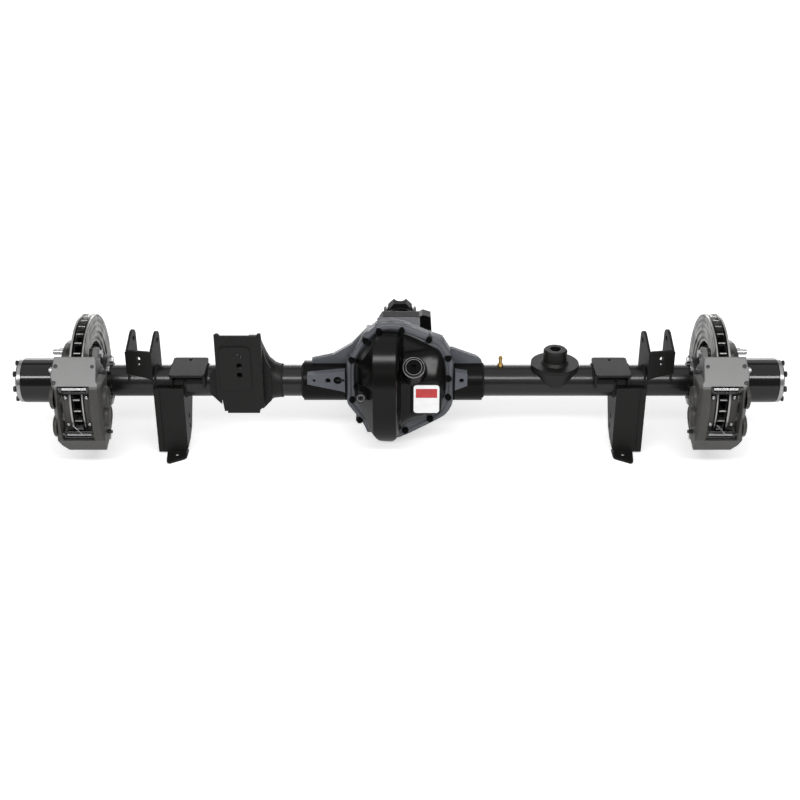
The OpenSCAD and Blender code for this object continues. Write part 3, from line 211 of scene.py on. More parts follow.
# Finishes
def painted(name, dark, light, rough, spread, grain, peel, edge=0.0015, shine=0.5, ior=1.5, painted_light=None):
    """Paint over metal: two noises mottle the colour, the broad one the gloss, the fine one is the peel.

    The last argument is (share, colour) for painted light: share(tree, where) is 1 where the paint is
    tinted lighter and glossier to stand in for light and the floor's reflection.
    """
    m, t, s, where, normal = start(name, edge)
    broad = noise(t, where, 9.0, 5.0)
    fine = noise(t, where, grain, 3.0)
    mottle = plus(t, times(t, broad, 0.6), times(t, fine, 0.4))
    colour = ramp(t, mottle, [(0.3, dark), (0.7, light)])
    s.inputs["IOR"].default_value = ior
    s.inputs["Specular IOR Level"].default_value = shine
    # Painted light: where the share is 1, a lighter tint and more shine stand in for light and reflection
    if painted_light:
        part, tint = painted_light
        share = part(t, where)
        shade = tuple(PAINTED_LIGHT_DARKEST * c for c in tint)
        colour = blend(t, share, colour, ramp(t, mottle, [(0.3, shade), (0.7, tint)]))
        t.links.new(plus(t, times(t, share, PAINTED_LIGHT_SHINE), shine), s.inputs["Specular IOR Level"])
    gloss = plus(t, times(t, broad, spread), rough - spread * 0.5)
    wear(t, s, colour, gloss, bump(t, fine, normal, peel, 0.0006))
    return m


def machined(name, dark, light, rough, lines, depth, edge=0.001):
    """Turned steel: rings as a sine of the distance from the wheel axis and along it, broken by a noise."""
    m, t, s, where, normal = start(name, edge)
    x, _, _ = parts(t, where)
    walk = plus(t, off_axis(t, where), times(t, x, 0.7))
    rings = maths(t, "SINE", times(t, walk, lines))
    broken = times(t, rings, noise(t, where, 40.0, 3.0))
    stain = noise(t, where, 22.0, 6.0)
    colour = ramp(t, plus(t, times(t, broken, 0.25), stain), [(0.3, dark), (0.75, light)])
    gloss = plus(t, times(t, stain, 0.22), rough - 0.11)
    wear(t, s, colour, gloss, bump(t, broken, normal, depth, 0.0003))
    s.inputs["Metallic"].default_value = 1.0
    return m


def worn_rotor_and_hat_shade(name, dark, light, rough):
    """Brake rotor: bands and lines by the distance from the axis, stains, rim lines, vanes, and painted
    shade that darkens the outboard hat for the dark it reflects.
    """
    m, t, s, where, normal = start(name, 0.0012)
    x, _, _ = parts(t, where)
    r = off_axis(t, where)
    out = maths(t, "ABSOLUTE", x)
    off_mid = maths(t, "ABSOLUTE", maths(t, "SUBTRACT", out, ROTOR_MID))
    bands = maths(t, "SINE", times(t, r, ROTOR_BANDS))
    lines = maths(t, "SINE", times(t, r, ROTOR_LINES))
    stain = noise(t, where, 30.0, 6.0)
    face = plus(t, times(t, bands, 0.10), plus(t, times(t, lines, 0.05), stain))
    rim_line = maths(t, "SUBTRACT", times(t, fade(t, off_mid, RIM_LINE_EDGE), 1.1), 0.75)
    rim = times(t, fade(t, r, RIM_EDGE), rim_line)
    vane = times(t, fade(t, off_mid, VANE_SIDE_EDGE), fade(t, r, VANE_TIP_EDGE))
    # Painted shade: the outboard hat is darkened to stand in for the dark surround it reflects
    hat = times(t, fade(t, out, HAT_EDGE), 0.17)
    tone = maths(t, "SUBTRACT", plus(t, face, plus(t, rim, times(t, vane, 1.4))), hat)
    colour = ramp(t, tone, [(0.0, 0.005), (0.36, dark), (0.70, light)])
    gloss = plus(t, times(t, stain, 0.25), rough - 0.12)
    wear(t, s, colour, gloss, bump(t, times(t, lines, stain), normal, 0.4, 0.0003))
    s.inputs["Metallic"].default_value = 1.0
    return m


def rough_metal(name, dark, light, rough, grain, depth, metallic=1.0, edge=0.001):
    """Bare or oxidised metal: speckle in colour, gloss and height."""
    m, t, s, where, normal = start(name, edge)
    speck = noise(t, where, grain, 4.0, 0.6)
    broad = noise(t, where, 14.0, 4.0)
    colour = ramp(t, plus(t, times(t, speck, 0.5), times(t, broad, 0.5)), [(0.32, dark), (0.68, light)])
    gloss = plus(t, times(t, broad, 0.2), rough - 0.1)
    wear(t, s, colour, gloss, bump(t, speck, normal, depth, 0.0004))
    s.inputs["Metallic"].default_value = metallic
    return m


BADGE_MID_X, BADGE_MID_Z = 0.068, -0.008
BAND_FOOT, BAND_TOP, BAND_HALF = 0.004, 0.030, 0.0275


def badge_finish():
    """Enamel badge: white with a plain red band across its upper part, by the place from its middle."""
    m, t, s, where, normal = start("badge_enamel", 0.0006)
    x, _, z = parts(t, where)
    across = maths(t, "ABSOLUTE", maths(t, "SUBTRACT", x, BADGE_MID_X))
    up = maths(t, "SUBTRACT", z, BADGE_MID_Z)
    level = times(t, maths(t, "GREATER_THAN", up, BAND_FOOT), maths(t, "LESS_THAN", up, BAND_TOP))
    band = times(t, maths(t, "LESS_THAN", across, BAND_HALF), level)
    cloud = noise(t, where, 60.0, 3.0)
    white = ramp(t, cloud, [(0.3, 0.80), (0.7, 0.88)])
    red = ramp(t, cloud, [(0.3, (0.42, 0.012, 0.014)), (0.7, (0.52, 0.020, 0.022))])
    gloss = plus(t, times(t, cloud, 0.12), 0.14)
    wear(t, s, blend(t, band, white, red), gloss, bump(t, cloud, normal, 0.05, 0.0004))
    s.inputs["Coat Weight"].default_value = 0.5
    return m


# Painted light: greys for faces tinted lighter as if lit or reflecting the floor, on the casting and cover
# and on the calipers' upper slopes
PAINTED_REFLECTION_GREY = (0.098, 0.104, 0.118)
PAINTED_PANEL_LIGHT = (0.125, 0.125, 0.122)
housing_black = painted(
    "housing_black", dark=(0.0034, 0.0034, 0.0034), light=(0.0060, 0.0059, 0.0056),
    rough=0.20, spread=0.08, grain=420.0, peel=0.14, edge=0.003, ior=1.25)
# The casting's webs, pads and bowl get painted light
casting_black = painted(
    "casting_black", dark=(0.0034, 0.0034, 0.0034), light=(0.0060, 0.0059, 0.0056),
    rough=0.24, spread=0.10, grain=420.0, peel=0.24, edge=0.003, shine=0.4, ior=1.22,
    painted_light=(painted_light_on_casting, PAINTED_REFLECTION_GREY))
# The cover's rim and bolt face get painted light
cover_black = painted(
    "cover_black", dark=(0.0024, 0.0024, 0.0024), light=(0.0048, 0.0046, 0.0042),
    rough=0.19, spread=0.08, grain=420.0, peel=0.14, edge=0.003, ior=1.30,
    painted_light=(painted_light_on_rim, PAINTED_REFLECTION_GREY))
tube_black = painted(
    "tube_black", dark=(0.0060, 0.0060, 0.0059), light=(0.0100, 0.0099, 0.0096),
    rough=0.24, spread=0.10, grain=600.0, peel=0.10, shine=0.45)
bracket_black = painted(
    "bracket_black", dark=(0.0065, 0.0064, 0.0061), light=(0.0105, 0.0103, 0.0098),
    rough=0.42, spread=0.14, grain=900.0, peel=0.14, shine=0.22)
hub_black = painted(
    "hub_black", dark=(0.0020, 0.0020, 0.0021), light=(0.0040, 0.0040, 0.0041),
    rough=0.13, spread=0.05, grain=700.0, peel=0.05)
yoke_black = painted(
    "yoke_black", dark=(0.0022, 0.0022, 0.0022), light=(0.0042, 0.0042, 0.0041),
    rough=0.30, spread=0.10, grain=700.0, peel=0.12, shine=0.3, ior=1.14)
# The calipers' upper slopes get painted light
caliper_grey = painted(
    "caliper_grey", dark=(0.044, 0.043, 0.040), light=(0.072, 0.071, 0.066),
    rough=0.36, spread=0.12, grain=1300.0, peel=0.22, edge=0.003, shine=0.30,
    painted_light=(painted_light_on_panel, PAINTED_PANEL_LIGHT))
seal_rubber = painted(
    "seal_rubber", dark=(0.010, 0.010, 0.010), light=(0.018, 0.018, 0.018),
    rough=0.55, spread=0.1, grain=800.0, peel=0.1)
rotor_steel = worn_rotor_and_hat_shade("rotor_steel", dark=(0.060, 0.060, 0.060), light=(0.46, 0.46, 0.45), rough=0.32)
flange_steel = machined(
    "flange_steel", dark=(0.36, 0.36, 0.365), light=(0.58, 0.58, 0.59), rough=0.26, lines=5200.0, depth=0.3)
bright_steel = rough_metal(
    "bright_steel", dark=(0.42, 0.42, 0.43), light=(0.68, 0.68, 0.69), rough=0.28, grain=600.0, depth=0.10)
gear_steel = rough_metal(
    "gear_steel", dark=(0.24, 0.24, 0.25), light=(0.38, 0.38, 0.39), rough=0.34, grain=500.0, depth=0.12)
dark_steel = rough_metal(
    "dark_steel", dark=(0.020, 0.020, 0.022), light=(0.045, 0.045, 0.048), rough=0.38, grain=700.0,
    depth=0.15, metallic=0.6)
brass = rough_metal(
    "brass", dark=(0.44, 0.27, 0.07), light=(0.66, 0.45, 0.15), rough=0.26, grain=500.0, depth=0.10)
pad_friction = rough_metal(
    "pad_friction", dark=(0.03, 0.03, 0.03), light=(0.10, 0.095, 0.09), rough=0.75, grain=900.0,
    depth=0.5, metallic=0.1)
badge_enamel = badge_finish()

FINISH_OF_SLOT = {
    "bright_steel": bright_steel, "gear_steel": gear_steel, "dark_steel": dark_steel, "brass": brass,
    "housing_black": housing_black, "bracket_black": bracket_black, "hub_black": hub_black,
    "caliper_grey": caliper_grey, "pad_friction": pad_friction, "seal_rubber": seal_rubber,
    "badge_white": badge_enamel,
}
FINISH_OF_NODE = {
    "left_rotor": rotor_steel, "right_rotor": rotor_steel,
    "left_axle_shaft": flange_steel, "right_axle_shaft": flange_steel,
    "left_axle_tube": tube_black, "right_axle_tube": tube_black,
    "centre_housing": casting_black,
    "pinion_yoke": yoke_black, "cover_bolts": yoke_black, "fill_plug": yoke_black,
}
for subpart in frame["record"]["subparts"]:
    look = FINISH_OF_NODE.get(subpart["node"]) or FINISH_OF_SLOT[subpart["material_slot"]]
    slots = nodes[subpart["node"]].data.materials
    slots.clear()
    slots.append(look)

# Surfaces: each is a patch of (points in metres, quads that face outwards)
MERGE_WITHIN = 1e-6
SHARP_ANGLE = math.radians(38.0)


def grid_quads(nu, nv, round_u=False, round_v=False):
    """Quads of a grid of nu by nv points, closed round in either direction where asked."""
    u = np.arange(nu if round_u else nu - 1)
    v = np.arange(nv if round_v else nv - 1)
    a, b = np.meshgrid(u, v, indexing="ij")
    a1, b1 = (a + 1) % nu, (b + 1) % nv
    return np.stack([a * nv + b, a1 * nv + b, a1 * nv + b1, a * nv + b1], axis=-1).reshape(-1, 4)


def points_in(patch):
    """How many points a patch has."""
    return patch[0].size // 3


def put(name, body, look, finish_slot, *patches, replaced=(), rim_painted_light=None):
    """Joins patches into one smooth piece that rides on a body; points that meet at poles become one."""
    pts, faces, base = [], [], 0
    for p, q in patches:
        pts.append(p.reshape(-1, 3))
        faces.append(q + base)
        base += len(pts[-1])
    verts, quads = np.concatenate(pts), np.concatenate(faces)
    mesh = bpy.data.meshes.new(name)
    mesh.vertices.add(len(verts))
    mesh.vertices.foreach_set("co", verts.ravel())
    mesh.loops.add(quads.size)
    mesh.loops.foreach_set("vertex_index", quads.ravel().astype(np.int32))
    mesh.polygons.add(len(quads))
    mesh.polygons.foreach_set("loop_start", np.arange(0, quads.size, 4, dtype=np.int32))
    mesh.polygons.foreach_set("use_smooth", np.ones(len(quads), dtype=bool))
    mesh.update(calc_edges=True)
    mesh.validate()
    if rim_painted_light is not None:
        share = mesh.attributes.new("rim_painted_light", "FLOAT", "POINT")
        share.data.foreach_set("value", rim_painted_light.astype(np.float32))
    merged = bmesh.new()
    merged.from_mesh(mesh)
    bmesh.ops.remove_doubles(merged, verts=merged.verts, dist=MERGE_WITHIN)
    merged.to_mesh(mesh)
    merged.free()
    mesh.set_sharp_from_angle(angle=SHARP_ANGLE)
    mesh.materials.append(look)
    obj = bpy.data.objects.new(name, mesh)
    scene.collection.objects.link(obj)
    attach(obj, body)
    if replaced:
        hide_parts(*replaced)


def mm(points):
    """Points given in millimetres, as metres."""
    return np.asarray(points, dtype=float) / 1000.0


def axes_for(direction):
    """Two unit vectors square to a direction, so that (a, b, direction) is right-handed."""
    d = np.asarray(direction, dtype=float)
    d = d / np.linalg.norm(d)
    a = np.cross(d, (0.0, 0.0, 1.0) if abs(d[2]) < 0.9 else (1.0, 0.0, 0.0))
    a = a / np.linalg.norm(a)
    return a, np.cross(d, a), d


def turned(profile, origin, direction, n=48):
    """A profile of (radius, height) points carried round an axis: origin + r cos t a + r sin t b + h d."""
    a, b, d = axes_for(direction)
    r, h = np.asarray(profile, dtype=float).T
    t = np.linspace(0.0, 2 * np.pi, n, endpoint=False)
    p = (np.asarray(origin) + np.cos(t)[:, None, None] * r[None, :, None] * a
         + np.sin(t)[:, None, None] * r[None, :, None] * b + h[None, :, None] * d)
    return p, grid_quads(n, len(r), round_u=True)


def carried(path, radius, up, n=10, squash=1.0):
    """A round profile carried along a path, square to it: c + r (cos t side + squash sin t top)."""
    c = np.asarray(path, dtype=float)
    along = np.gradient(c, axis=0)
    along /= np.linalg.norm(along, axis=1, keepdims=True)
    side = np.cross(along, np.asarray(up, dtype=float))
    side /= np.linalg.norm(side, axis=1, keepdims=True) + 1e-12
    top = np.cross(side, along)
    t = np.linspace(0.0, 2 * np.pi, n, endpoint=False)
    ring = np.cos(t)[None, :, None] * side[:, None] + squash * np.sin(t)[None, :, None] * top[:, None]
    return c[:, None] + radius[:, None, None] * ring, grid_quads(len(c), n, round_v=True)


def end_share(n, over):
    """0 at either end of n points, 1 from a count of points in, and a line between."""
    i = np.arange(n)
    return np.clip(np.minimum(i, i[::-1]) / over, 0.0, 1.0)


def smooth_step(lo, hi, v):
    """0 below lo, 1 above hi and a cubic between them."""
    t = np.clip((v - lo) / (hi - lo), 0.0, 1.0)
    return t * t * (3.0 - 2.0 * t)


def soft_max(k, *heights):
    """The largest of several heights, blended over about k."""
    top = heights[0]
    for h in heights[1:]:
        d = np.clip(0.5 + 0.5 * (h - top) / k, 0.0, 1.0)
        top = top * (1 - d) + h * d + k * d * (1.0 - d)
    return top


def rounded_outline(corners, n, cuts=3):
    """A closed outline with its corners cut round, as n points at even spacing."""
    p = np.asarray(corners, dtype=float)
    for _ in range(cuts):
        q = np.roll(p, -1, axis=0)
        p = np.stack([0.8 * p + 0.2 * q, 0.2 * p + 0.8 * q], axis=1).reshape(-1, 2)
    q = np.concatenate([p, p[:1]])
    step = np.concatenate([[0.0], np.cumsum(np.linalg.norm(np.diff(q, axis=0), axis=1))])
    s = np.linspace(0.0, step[-1], n, endpoint=False)
    return np.stack([np.interp(s, step, q[:, 0]), np.interp(s, step, q[:, 1])], axis=1)


def inside_by(outline, x, z):
    """How far points lie inside a closed outline: the least distance to its sides, negative outside it."""
    p = np.asarray(outline, dtype=float)
    e = np.roll(p, -1, axis=0) - p
    dx, dz = x[..., None] - p[:, 0], z[..., None] - p[:, 1]
    t = np.clip((dx * e[:, 0] + dz * e[:, 1]) / (e ** 2).sum(axis=1), 0.0, 1.0)
    d = np.hypot(dx - t * e[:, 0], dz - t * e[:, 1]).min(axis=-1)
    z1 = p[:, 1] + e[:, 1]
    crosses = ((p[:, 1] > z[..., None]) != (z1 > z[..., None])) & (
        dx < e[:, 0] * dz / np.where(e[:, 1] == 0, 1e-9, e[:, 1]))
    return np.where(crosses.sum(axis=-1) % 2 == 1, d, -d)


# Differential cover: sizes in millimetres, made metres where a patch is made
COVER_OUTLINE = [
    (-93, 146), (-60, 174), (-24, 181), (12, 174), (76, 146), (109, 134), (131, 97), (139, 66), (140, -46),
    (129, -71), (114, -89), (0, -153), (-33, -156), (-72, -145), (-92, -114), (-136, -55), (-140, -42),
    (-139, 75), (-126, 90)]
COVER_BOLTS = [
    (-88, 134), (4, 163), (74, 137), (-124, 79), (124, 84), (126, 26), (126.5, -29), (79, -93), (14, -128),
    (-106, -97), (-125, -36), (-54, 161)]
COVER_WELL = [
    (-80, 140), (-60, 160), (-25, 167), (14, 157), (71, 126), (102, 110), (116, 78), (121, 44), (121, -14),
    (104, -49), (73, -80), (32, -88), (0, -119), (-14, -147), (-60, -141), (-79, -101), (-110, -44),
    (-121, -14), (-122, 76)]
WELL_OUTLINE = rounded_outline(COVER_WELL, 90)
COVER_MIDDLE = np.array([-8.0, 8.0])
GASKET_Y, BOLT_FACE_Y = -24.05, -36.0

# Its forms: how far they stand out, how wide their edges are and where they fade
DOME_OUT, DOME_EDGE = 51.0, 44.0
DOME_FADE_X, DOME_SINK_Z, DOME_SINK = (-50.0, -10.0), (25.0, 115.0), 0.8
BARREL_OUT, BARREL_UP, BARREL_DOWN = 104.0, 160.0, 156.0
BARREL_FADE_X = (-12.0, 16.0)
WALL_FOOT_X, WALL_WIDTH, WALL_EDGE = -119.0, 50.0, 9.0

# Its rim: shares of the way from the middle to the outline, and the ridge's height
FLAT_FROM = (0.88, 0.93)
RIDGE_AT, RIDGE_HALF, RIDGE_OUT = 0.948, 0.052, 5.0


def cover_height(x, z):
    """How far the cover stands out of its bolt face: the larger of a dome and a barrel, blended.

    The dome rises by a quarter round inside the well's outline, fades out to the left and sinks to the top.
    The barrel is half an ellipse up and down, with a sloped wall at the left, and fades out to the right.
    """
    inside = inside_by(WELL_OUTLINE, x, z)
    rise = np.clip(inside / DOME_EDGE, 0.0, 1.0)
    dome = DOME_OUT * np.sqrt(1.0 - (1.0 - rise) ** 2) * smooth_step(*DOME_FADE_X, x)
    dome = dome * (1.0 - DOME_SINK * smooth_step(*DOME_SINK_Z, z))
    round_z = np.sqrt(np.clip(1.0 - (z / np.where(z > 0, BARREL_UP, BARREL_DOWN)) ** 2, 0.0, 1.0))
    wall = np.clip((x - WALL_FOOT_X) / WALL_WIDTH, 0.0, 1.0) ** 0.85
    wall = wall * np.clip(inside / WALL_EDGE, 0.0, 1.0) ** 0.7
    barrel = BARREL_OUT * round_z * wall * (1.0 - smooth_step(*BARREL_FADE_X, x))
    return soft_max(8.0, barrel, dome)


def cover_surface():
    """Rings from the middle to the rounded outline, pushed out by cover_height, with a ridge at the rim."""
    rim = rounded_outline(COVER_OUTLINE, 480)
    s = np.concatenate([np.linspace(0.0, 0.86, 150), np.linspace(0.865, 0.992, 44)])
    grid = COVER_MIDDLE + s[:, None, None] * (rim - COVER_MIDDLE)[None]
    x, z = grid[..., 0], grid[..., 1]
    out = np.broadcast_to(s[:, None], x.shape)
    height = cover_height(x, z) * (1.0 - smooth_step(*FLAT_FROM, out))
    ridge = RIDGE_OUT * np.sqrt(np.clip(1.0 - ((out - RIDGE_AT) / RIDGE_HALF) ** 2, 0.0, None))
    face = np.stack([x, BOLT_FACE_Y - soft_max(3.0, height, ridge), z], axis=-1)
    lip = []
    for grow, y in ((0.998, BOLT_FACE_Y + 1.0), (1.0, BOLT_FACE_Y + 2.6), (1.0, GASKET_Y), (0.9, GASKET_Y)):
        ring = COVER_MIDDLE + grow * (rim - COVER_MIDDLE)
        lip.append(np.stack([ring[:, 0], np.full(len(ring), y), ring[:, 1]], axis=-1))
    p = mm(np.concatenate([face, np.stack(lip)]))
    return p, grid_quads(p.shape[0], p.shape[1], round_v=True)[:, ::-1]


BACK = (0.0, -1.0, 0.0)
FILL_TILT = math.radians(42.0)
FILL_AXIS = (0.0, -math.cos(FILL_TILT), math.sin(FILL_TILT))
FILL_AT, DRAIN_AT = mm((35.0, 0.0, 0.0)), mm((-100.0, 0.0, 8.0))
LUG_PROFILE = mm([(10.5, 24.1), (10.5, 37.6), (9.4, 39.0), (0.0, 39.0)])
FILL_PROFILE = mm([
    (52, 56), (43, 74), (35, 92), (31, 108), (29, 119), (27.5, 121.4), (25, 122), (17.2, 122)])
DRAIN_PROFILE = mm([(21, 58), (16.5, 76), (15.5, 106), (14.5, 110.5), (12.5, 112), (8.5, 112)])
# Painted light on the cover: the rim and bolt face outside the well get the full lighter tint, the lugs
# half, the bosses none
LUG_PAINTED_LIGHT = 0.5
PAINTED_RIM_FADE = (-3.0, 4.0)

shell = cover_surface()
fill_boss = turned(FILL_PROFILE, FILL_AT, FILL_AXIS, 64)
drain_boss = turned(DRAIN_PROFILE, DRAIN_AT, BACK, 48)
lugs = [turned(LUG_PROFILE, mm((x, 0.0, z)), BACK, 28) for x, z in COVER_BOLTS]
shell_x, _, shell_z = 1000.0 * shell[0].reshape(-1, 3).T
shell_painted_light = 1.0 - smooth_step(*PAINTED_RIM_FADE, inside_by(WELL_OUTLINE, shell_x, shell_z))
boss_painted_light = np.zeros(points_in(fill_boss) + points_in(drain_boss))
lug_painted_light = np.full(sum(points_in(lug) for lug in lugs), LUG_PAINTED_LIGHT)
put("cover_shell", "housing", cover_black, "housing_black", shell, fill_boss, drain_boss, *lugs,
    replaced=("diff_cover",), rim_painted_light=np.concatenate([shell_painted_light, boss_painted_light, lug_painted_light]))

# Badge pad: raised from the dome, under the badge plate
BADGE_PAD_SIZE = np.array([78.0, 92.0])
BADGE_PAD_TOP_Y = -90.0
BADGE_PAD_POWER = 2.0 / 7.0
BADGE_PAD_SINK = 3.0
BADGE_PAD_STEPS = ((1.10, 0.0), (1.04, 0.55), (1.0, 0.9), (0.975, 1.0), (0.0, 1.0))


def rounded_pad(n=96):
    """Rounded rectangles, by powers of sine and cosine, from a foot just under the dome to a flat top."""
    t = np.linspace(0.0, 2 * np.pi, n, endpoint=False)
    circle = np.stack([np.cos(t), np.sin(t)], axis=1)
    ring = np.sign(circle) * np.abs(circle) ** BADGE_PAD_POWER
    rows = []
    for grow, up in BADGE_PAD_STEPS:
        x, z = (1000.0 * np.array([BADGE_MID_X, BADGE_MID_Z]) + ring * BADGE_PAD_SIZE / 2.0 * grow).T
        foot = BOLT_FACE_Y - cover_height(x, z) + BADGE_PAD_SINK
        rows.append(np.stack([x, foot + (BADGE_PAD_TOP_Y - foot) * up, z], axis=-1))
    return mm(np.stack(rows)), grid_quads(len(rows), n, round_v=True)[:, ::-1]


put("badge_pad", "housing", housing_black, "housing_black", rounded_pad())


# Plugs: thin rings round their heads
def thin_ring(r, h, place, way):
    """A low round ridge, as a profile of five points carried round an axis."""
    profile = [(r + 0.8, h - 0.2), (r + 0.6, h + 0.5), (r, h + 0.8), (r - 0.6, h + 0.5), (r - 0.8, h - 0.2)]
    return turned(mm(profile), place, way, 72)


put("plug_rings", "housing", gear_steel, "gear_steel", thin_ring(20.5, 128.0, FILL_AT, FILL_AXIS),
    thin_ring(27.0, 122.0, FILL_AT, FILL_AXIS), thin_ring(9.0, 117.0, DRAIN_AT, BACK))

# Calipers: small pieces given in the right one's own frame, in millimetres
CALIPER_LEAN = math.radians(-4.75)
PANEL_WAY = (0.0, -0.82, 0.577)
INBOARD, OUTBOARD = (-1.0, 0.0, 0.0), (1.0, 0.0, 0.0)
PAD_X = (("outer", 838.0), ("inner", 784.0))
PAD_HEAD_YZ = ((-168.0, 24.0), (-162.0, -52.0))
PAD_HEAD_R, PAD_HEAD_OUT = 5.0, 9.0
SPRING_X, SPRING_HALF, SPRING_R = 810.0, 14.0, 0.8
BAR_YZ = ((-178.0, 59.0), (-184.0, 41.0), (-172.0, -87.0), (-179.0, -68.0))
BAR_X, BAR_BOW, BAR_R = (773.0, 798.0, 824.0, 849.0), (0.0, 1.0, 1.0, 0.0), 3.4
PLUG_XYZR = ((856.0, -165.5, 105.0, 5.2), (858.0, -190.0, 70.0, 5.2), (765.0, -166.0, 104.0, 4.6))
PLUG_OUT = 1.6
CAP_PROFILE = mm([(26.0, -1.0), (26.0, 1.6), (24.6, 2.6), (19.0, 2.6), (17.6, 1.4), (0.0, 1.4)])
CAP_X, CAP_CIRCLE, CAP_DEGREES = 738.0, 146.5, (-15.0, 5.0)
HUMP_PROFILE = mm([(29.0, -8.0), (29.0, -1.0), (27.5, 1.0), (24.0, 2.4), (16.0, 3.2), (0.0, 3.4)])
HUMP_X, HUMP_CIRCLE, HUMP_DEGREES = 870.0, 176.0, (-18.0, 8.0)


def at_caliper(side, patches):
    """Patches from the caliper's frame, turned by its lean about the axis and mirrored for the left."""
    c, k = math.cos(CALIPER_LEAN), math.sin(CALIPER_LEAN)
    placed = []
    for p, q in patches:
        x, y, z = np.moveaxis(p, -1, 0)
        leaned = np.stack([side * x, y * c - z * k, y * k + z * c], axis=-1)
        placed.append((leaned, q if side > 0 else q[:, ::-1]))
    return placed


def knob(x, y, z, r, h, way):
    """A round head with a soft rim, standing on a place and facing a way."""
    profile = [(r, -6.0), (r, h * 0.6), (r * 0.86, h * 0.9), (r * 0.6, h), (0.0, h)]
    return turned(mm(profile), mm((x, y, z)), way, 28)


def on_circle(x, radius, degrees):
    """A place on a circle about the wheel axis, by its angle above the back."""
    a = math.radians(degrees)
    return mm((x, -radius * math.cos(a), radius * math.sin(a)))


def wire(points, r):
    """A round wire with closed ends, along the cubic that runs smoothly through points, evenly sampled."""
    c = np.asarray(points, dtype=float)
    t = np.linspace(0.0, len(c) - 1.0, 12 * len(c))
    i = np.clip(t.astype(int), 0, len(c) - 2)
    f = (t - i)[:, None]
    g = np.concatenate([2 * c[:1] - c[1:2], c, 2 * c[-1:] - c[-2:-1]])
    a0, a1, a2, a3 = g[i], g[i + 1], g[i + 2], g[i + 3]
    bent = (2 * a0 - 5 * a1 + 4 * a2 - a3) * f ** 2 + (3 * a1 - a0 - 3 * a2 + a3) * f ** 3
    path = 0.5 * (2 * a1 + (a2 - a0) * f + bent)
    return carried(mm(path), mm(r * end_share(len(path), 1.0)), up=(0.31, 0.9, 0.3))


for side, hand in ((1, "right"), (-1, "left")):
    for pad, x in PAD_X:
        heads = [knob(x, y, z, PAD_HEAD_R, PAD_HEAD_OUT, BACK) for y, z in PAD_HEAD_YZ]
        put(f"{hand}_{pad}_pad_heads", f"{hand}_{pad}_brake_pad", bright_steel, "bright_steel",
            *at_caliper(side, heads))
    lean = SPRING_HALF * side
    bends = [(SPRING_X - lean, -184, -46), (SPRING_X, -187, -60), (SPRING_X + lean, -184, -76)]
    put(f"{hand}_pad_spring", "housing", bright_steel, "bright_steel",
        *at_caliper(side, [wire(bends, SPRING_R)]))
    bars = [wire([(x, y - bow, z) for x, bow in zip(BAR_X, BAR_BOW)], BAR_R) for y, z in BAR_YZ]
    put(f"{hand}_window_bars", "housing", hub_black, "hub_black", *at_caliper(side, bars))
    plugs = [knob(x, y, z, r, PLUG_OUT, PANEL_WAY) for x, y, z, r in PLUG_XYZR]
    put(f"{hand}_caliper_plugs", "housing", dark_steel, "dark_steel", *at_caliper(side, plugs))
    caps = [turned(CAP_PROFILE, on_circle(CAP_X, CAP_CIRCLE, a), INBOARD) for a in CAP_DEGREES]
    caps += [turned(HUMP_PROFILE, on_circle(HUMP_X, HUMP_CIRCLE, a), OUTBOARD) for a in HUMP_DEGREES]
    put(f"{hand}_piston_caps", "housing", caliper_grey, "caliper_grey", *at_caliper(side, caps))

# Track bar bracket: the swept collar that runs from its inboard edge onto the tube, in millimetres
COLLAR_R, COLLAR_BORE_R = 43.6, 41.0
COLLAR_FIRST_RING = 0.3
COLLAR_TOPS = [(-392, 128), (-366, 128), (-358.7, 106), (-349.6, 84), (-341, 67), (-325, 51), (-309, 44)]
COLLAR_FEET = [(-392, 76), (-364, 76), (-347, 60), (-331, 47), (-309, 44)]


def swept_collar():
    """A horn round the tube along X: its radius grows by cosine cubed to the tops, squared to the feet."""
    x = np.linspace(COLLAR_TOPS[0][0], COLLAR_TOPS[-1][0], 60)[:, None]
    a = np.linspace(0.0, 2 * np.pi, 120, endpoint=False)[None]
    top = np.interp(x, *np.transpose(COLLAR_TOPS)) - COLLAR_R
    foot = np.interp(x, *np.transpose(COLLAR_FEET)) - COLLAR_R
    r = COLLAR_R + top * np.clip(np.cos(a), 0.0, 1.0) ** 3 + foot * np.clip(-np.cos(a), 0.0, 1.0) ** 2
    p = np.stack([np.broadcast_to(x, r.shape), -r * np.sin(a), r * np.cos(a)], axis=-1)
    first = p[:1] * np.array([1.0, COLLAR_FIRST_RING, COLLAR_FIRST_RING])
    last = p[-1:] * np.array([1.0, COLLAR_BORE_R / COLLAR_R, COLLAR_BORE_R / COLLAR_R])
    p = mm(np.concatenate([first, p, last]))
    return p, grid_quads(p.shape[0], p.shape[1], round_v=True)[:, ::-1]


put("track_collar", "housing", bracket_black, "bracket_black", swept_collar())

# Weld beads: rippled arcs round the tubes at the feet of the brackets, in millimetres and degrees
BEAD_R, BOSS_BEAD_R = 42.0, 42.5

# Beads at the brackets of one side: place along the axis, first and last angle from the top
BRACKET_BEADS = (
    (560.0, 62, 300), (639.5, 62, 300), (503.5, -60, 60),
    (596.0, -60, 60), (636.0, -70, 75), (703.0, -70, 75))


def bead(x, r, start_deg, stop_deg, thick=3.0):
    """A weld bead: a round profile along an arc about the wheel axis, its thickness rippled by a sine."""
    t = np.radians(np.linspace(start_deg, stop_deg, int(abs(stop_deg - start_deg) * 1.6)))
    path = np.stack([np.full_like(t, x), -r * np.sin(t), r * np.cos(t)], axis=1)
    ripple = 1.0 + 0.13 * np.sin(t * r * 2.1)
    return carried(mm(path), mm(thick * np.sqrt(end_share(len(t), 4.0)) * ripple), up=(1.0, 0.0, 0.0))


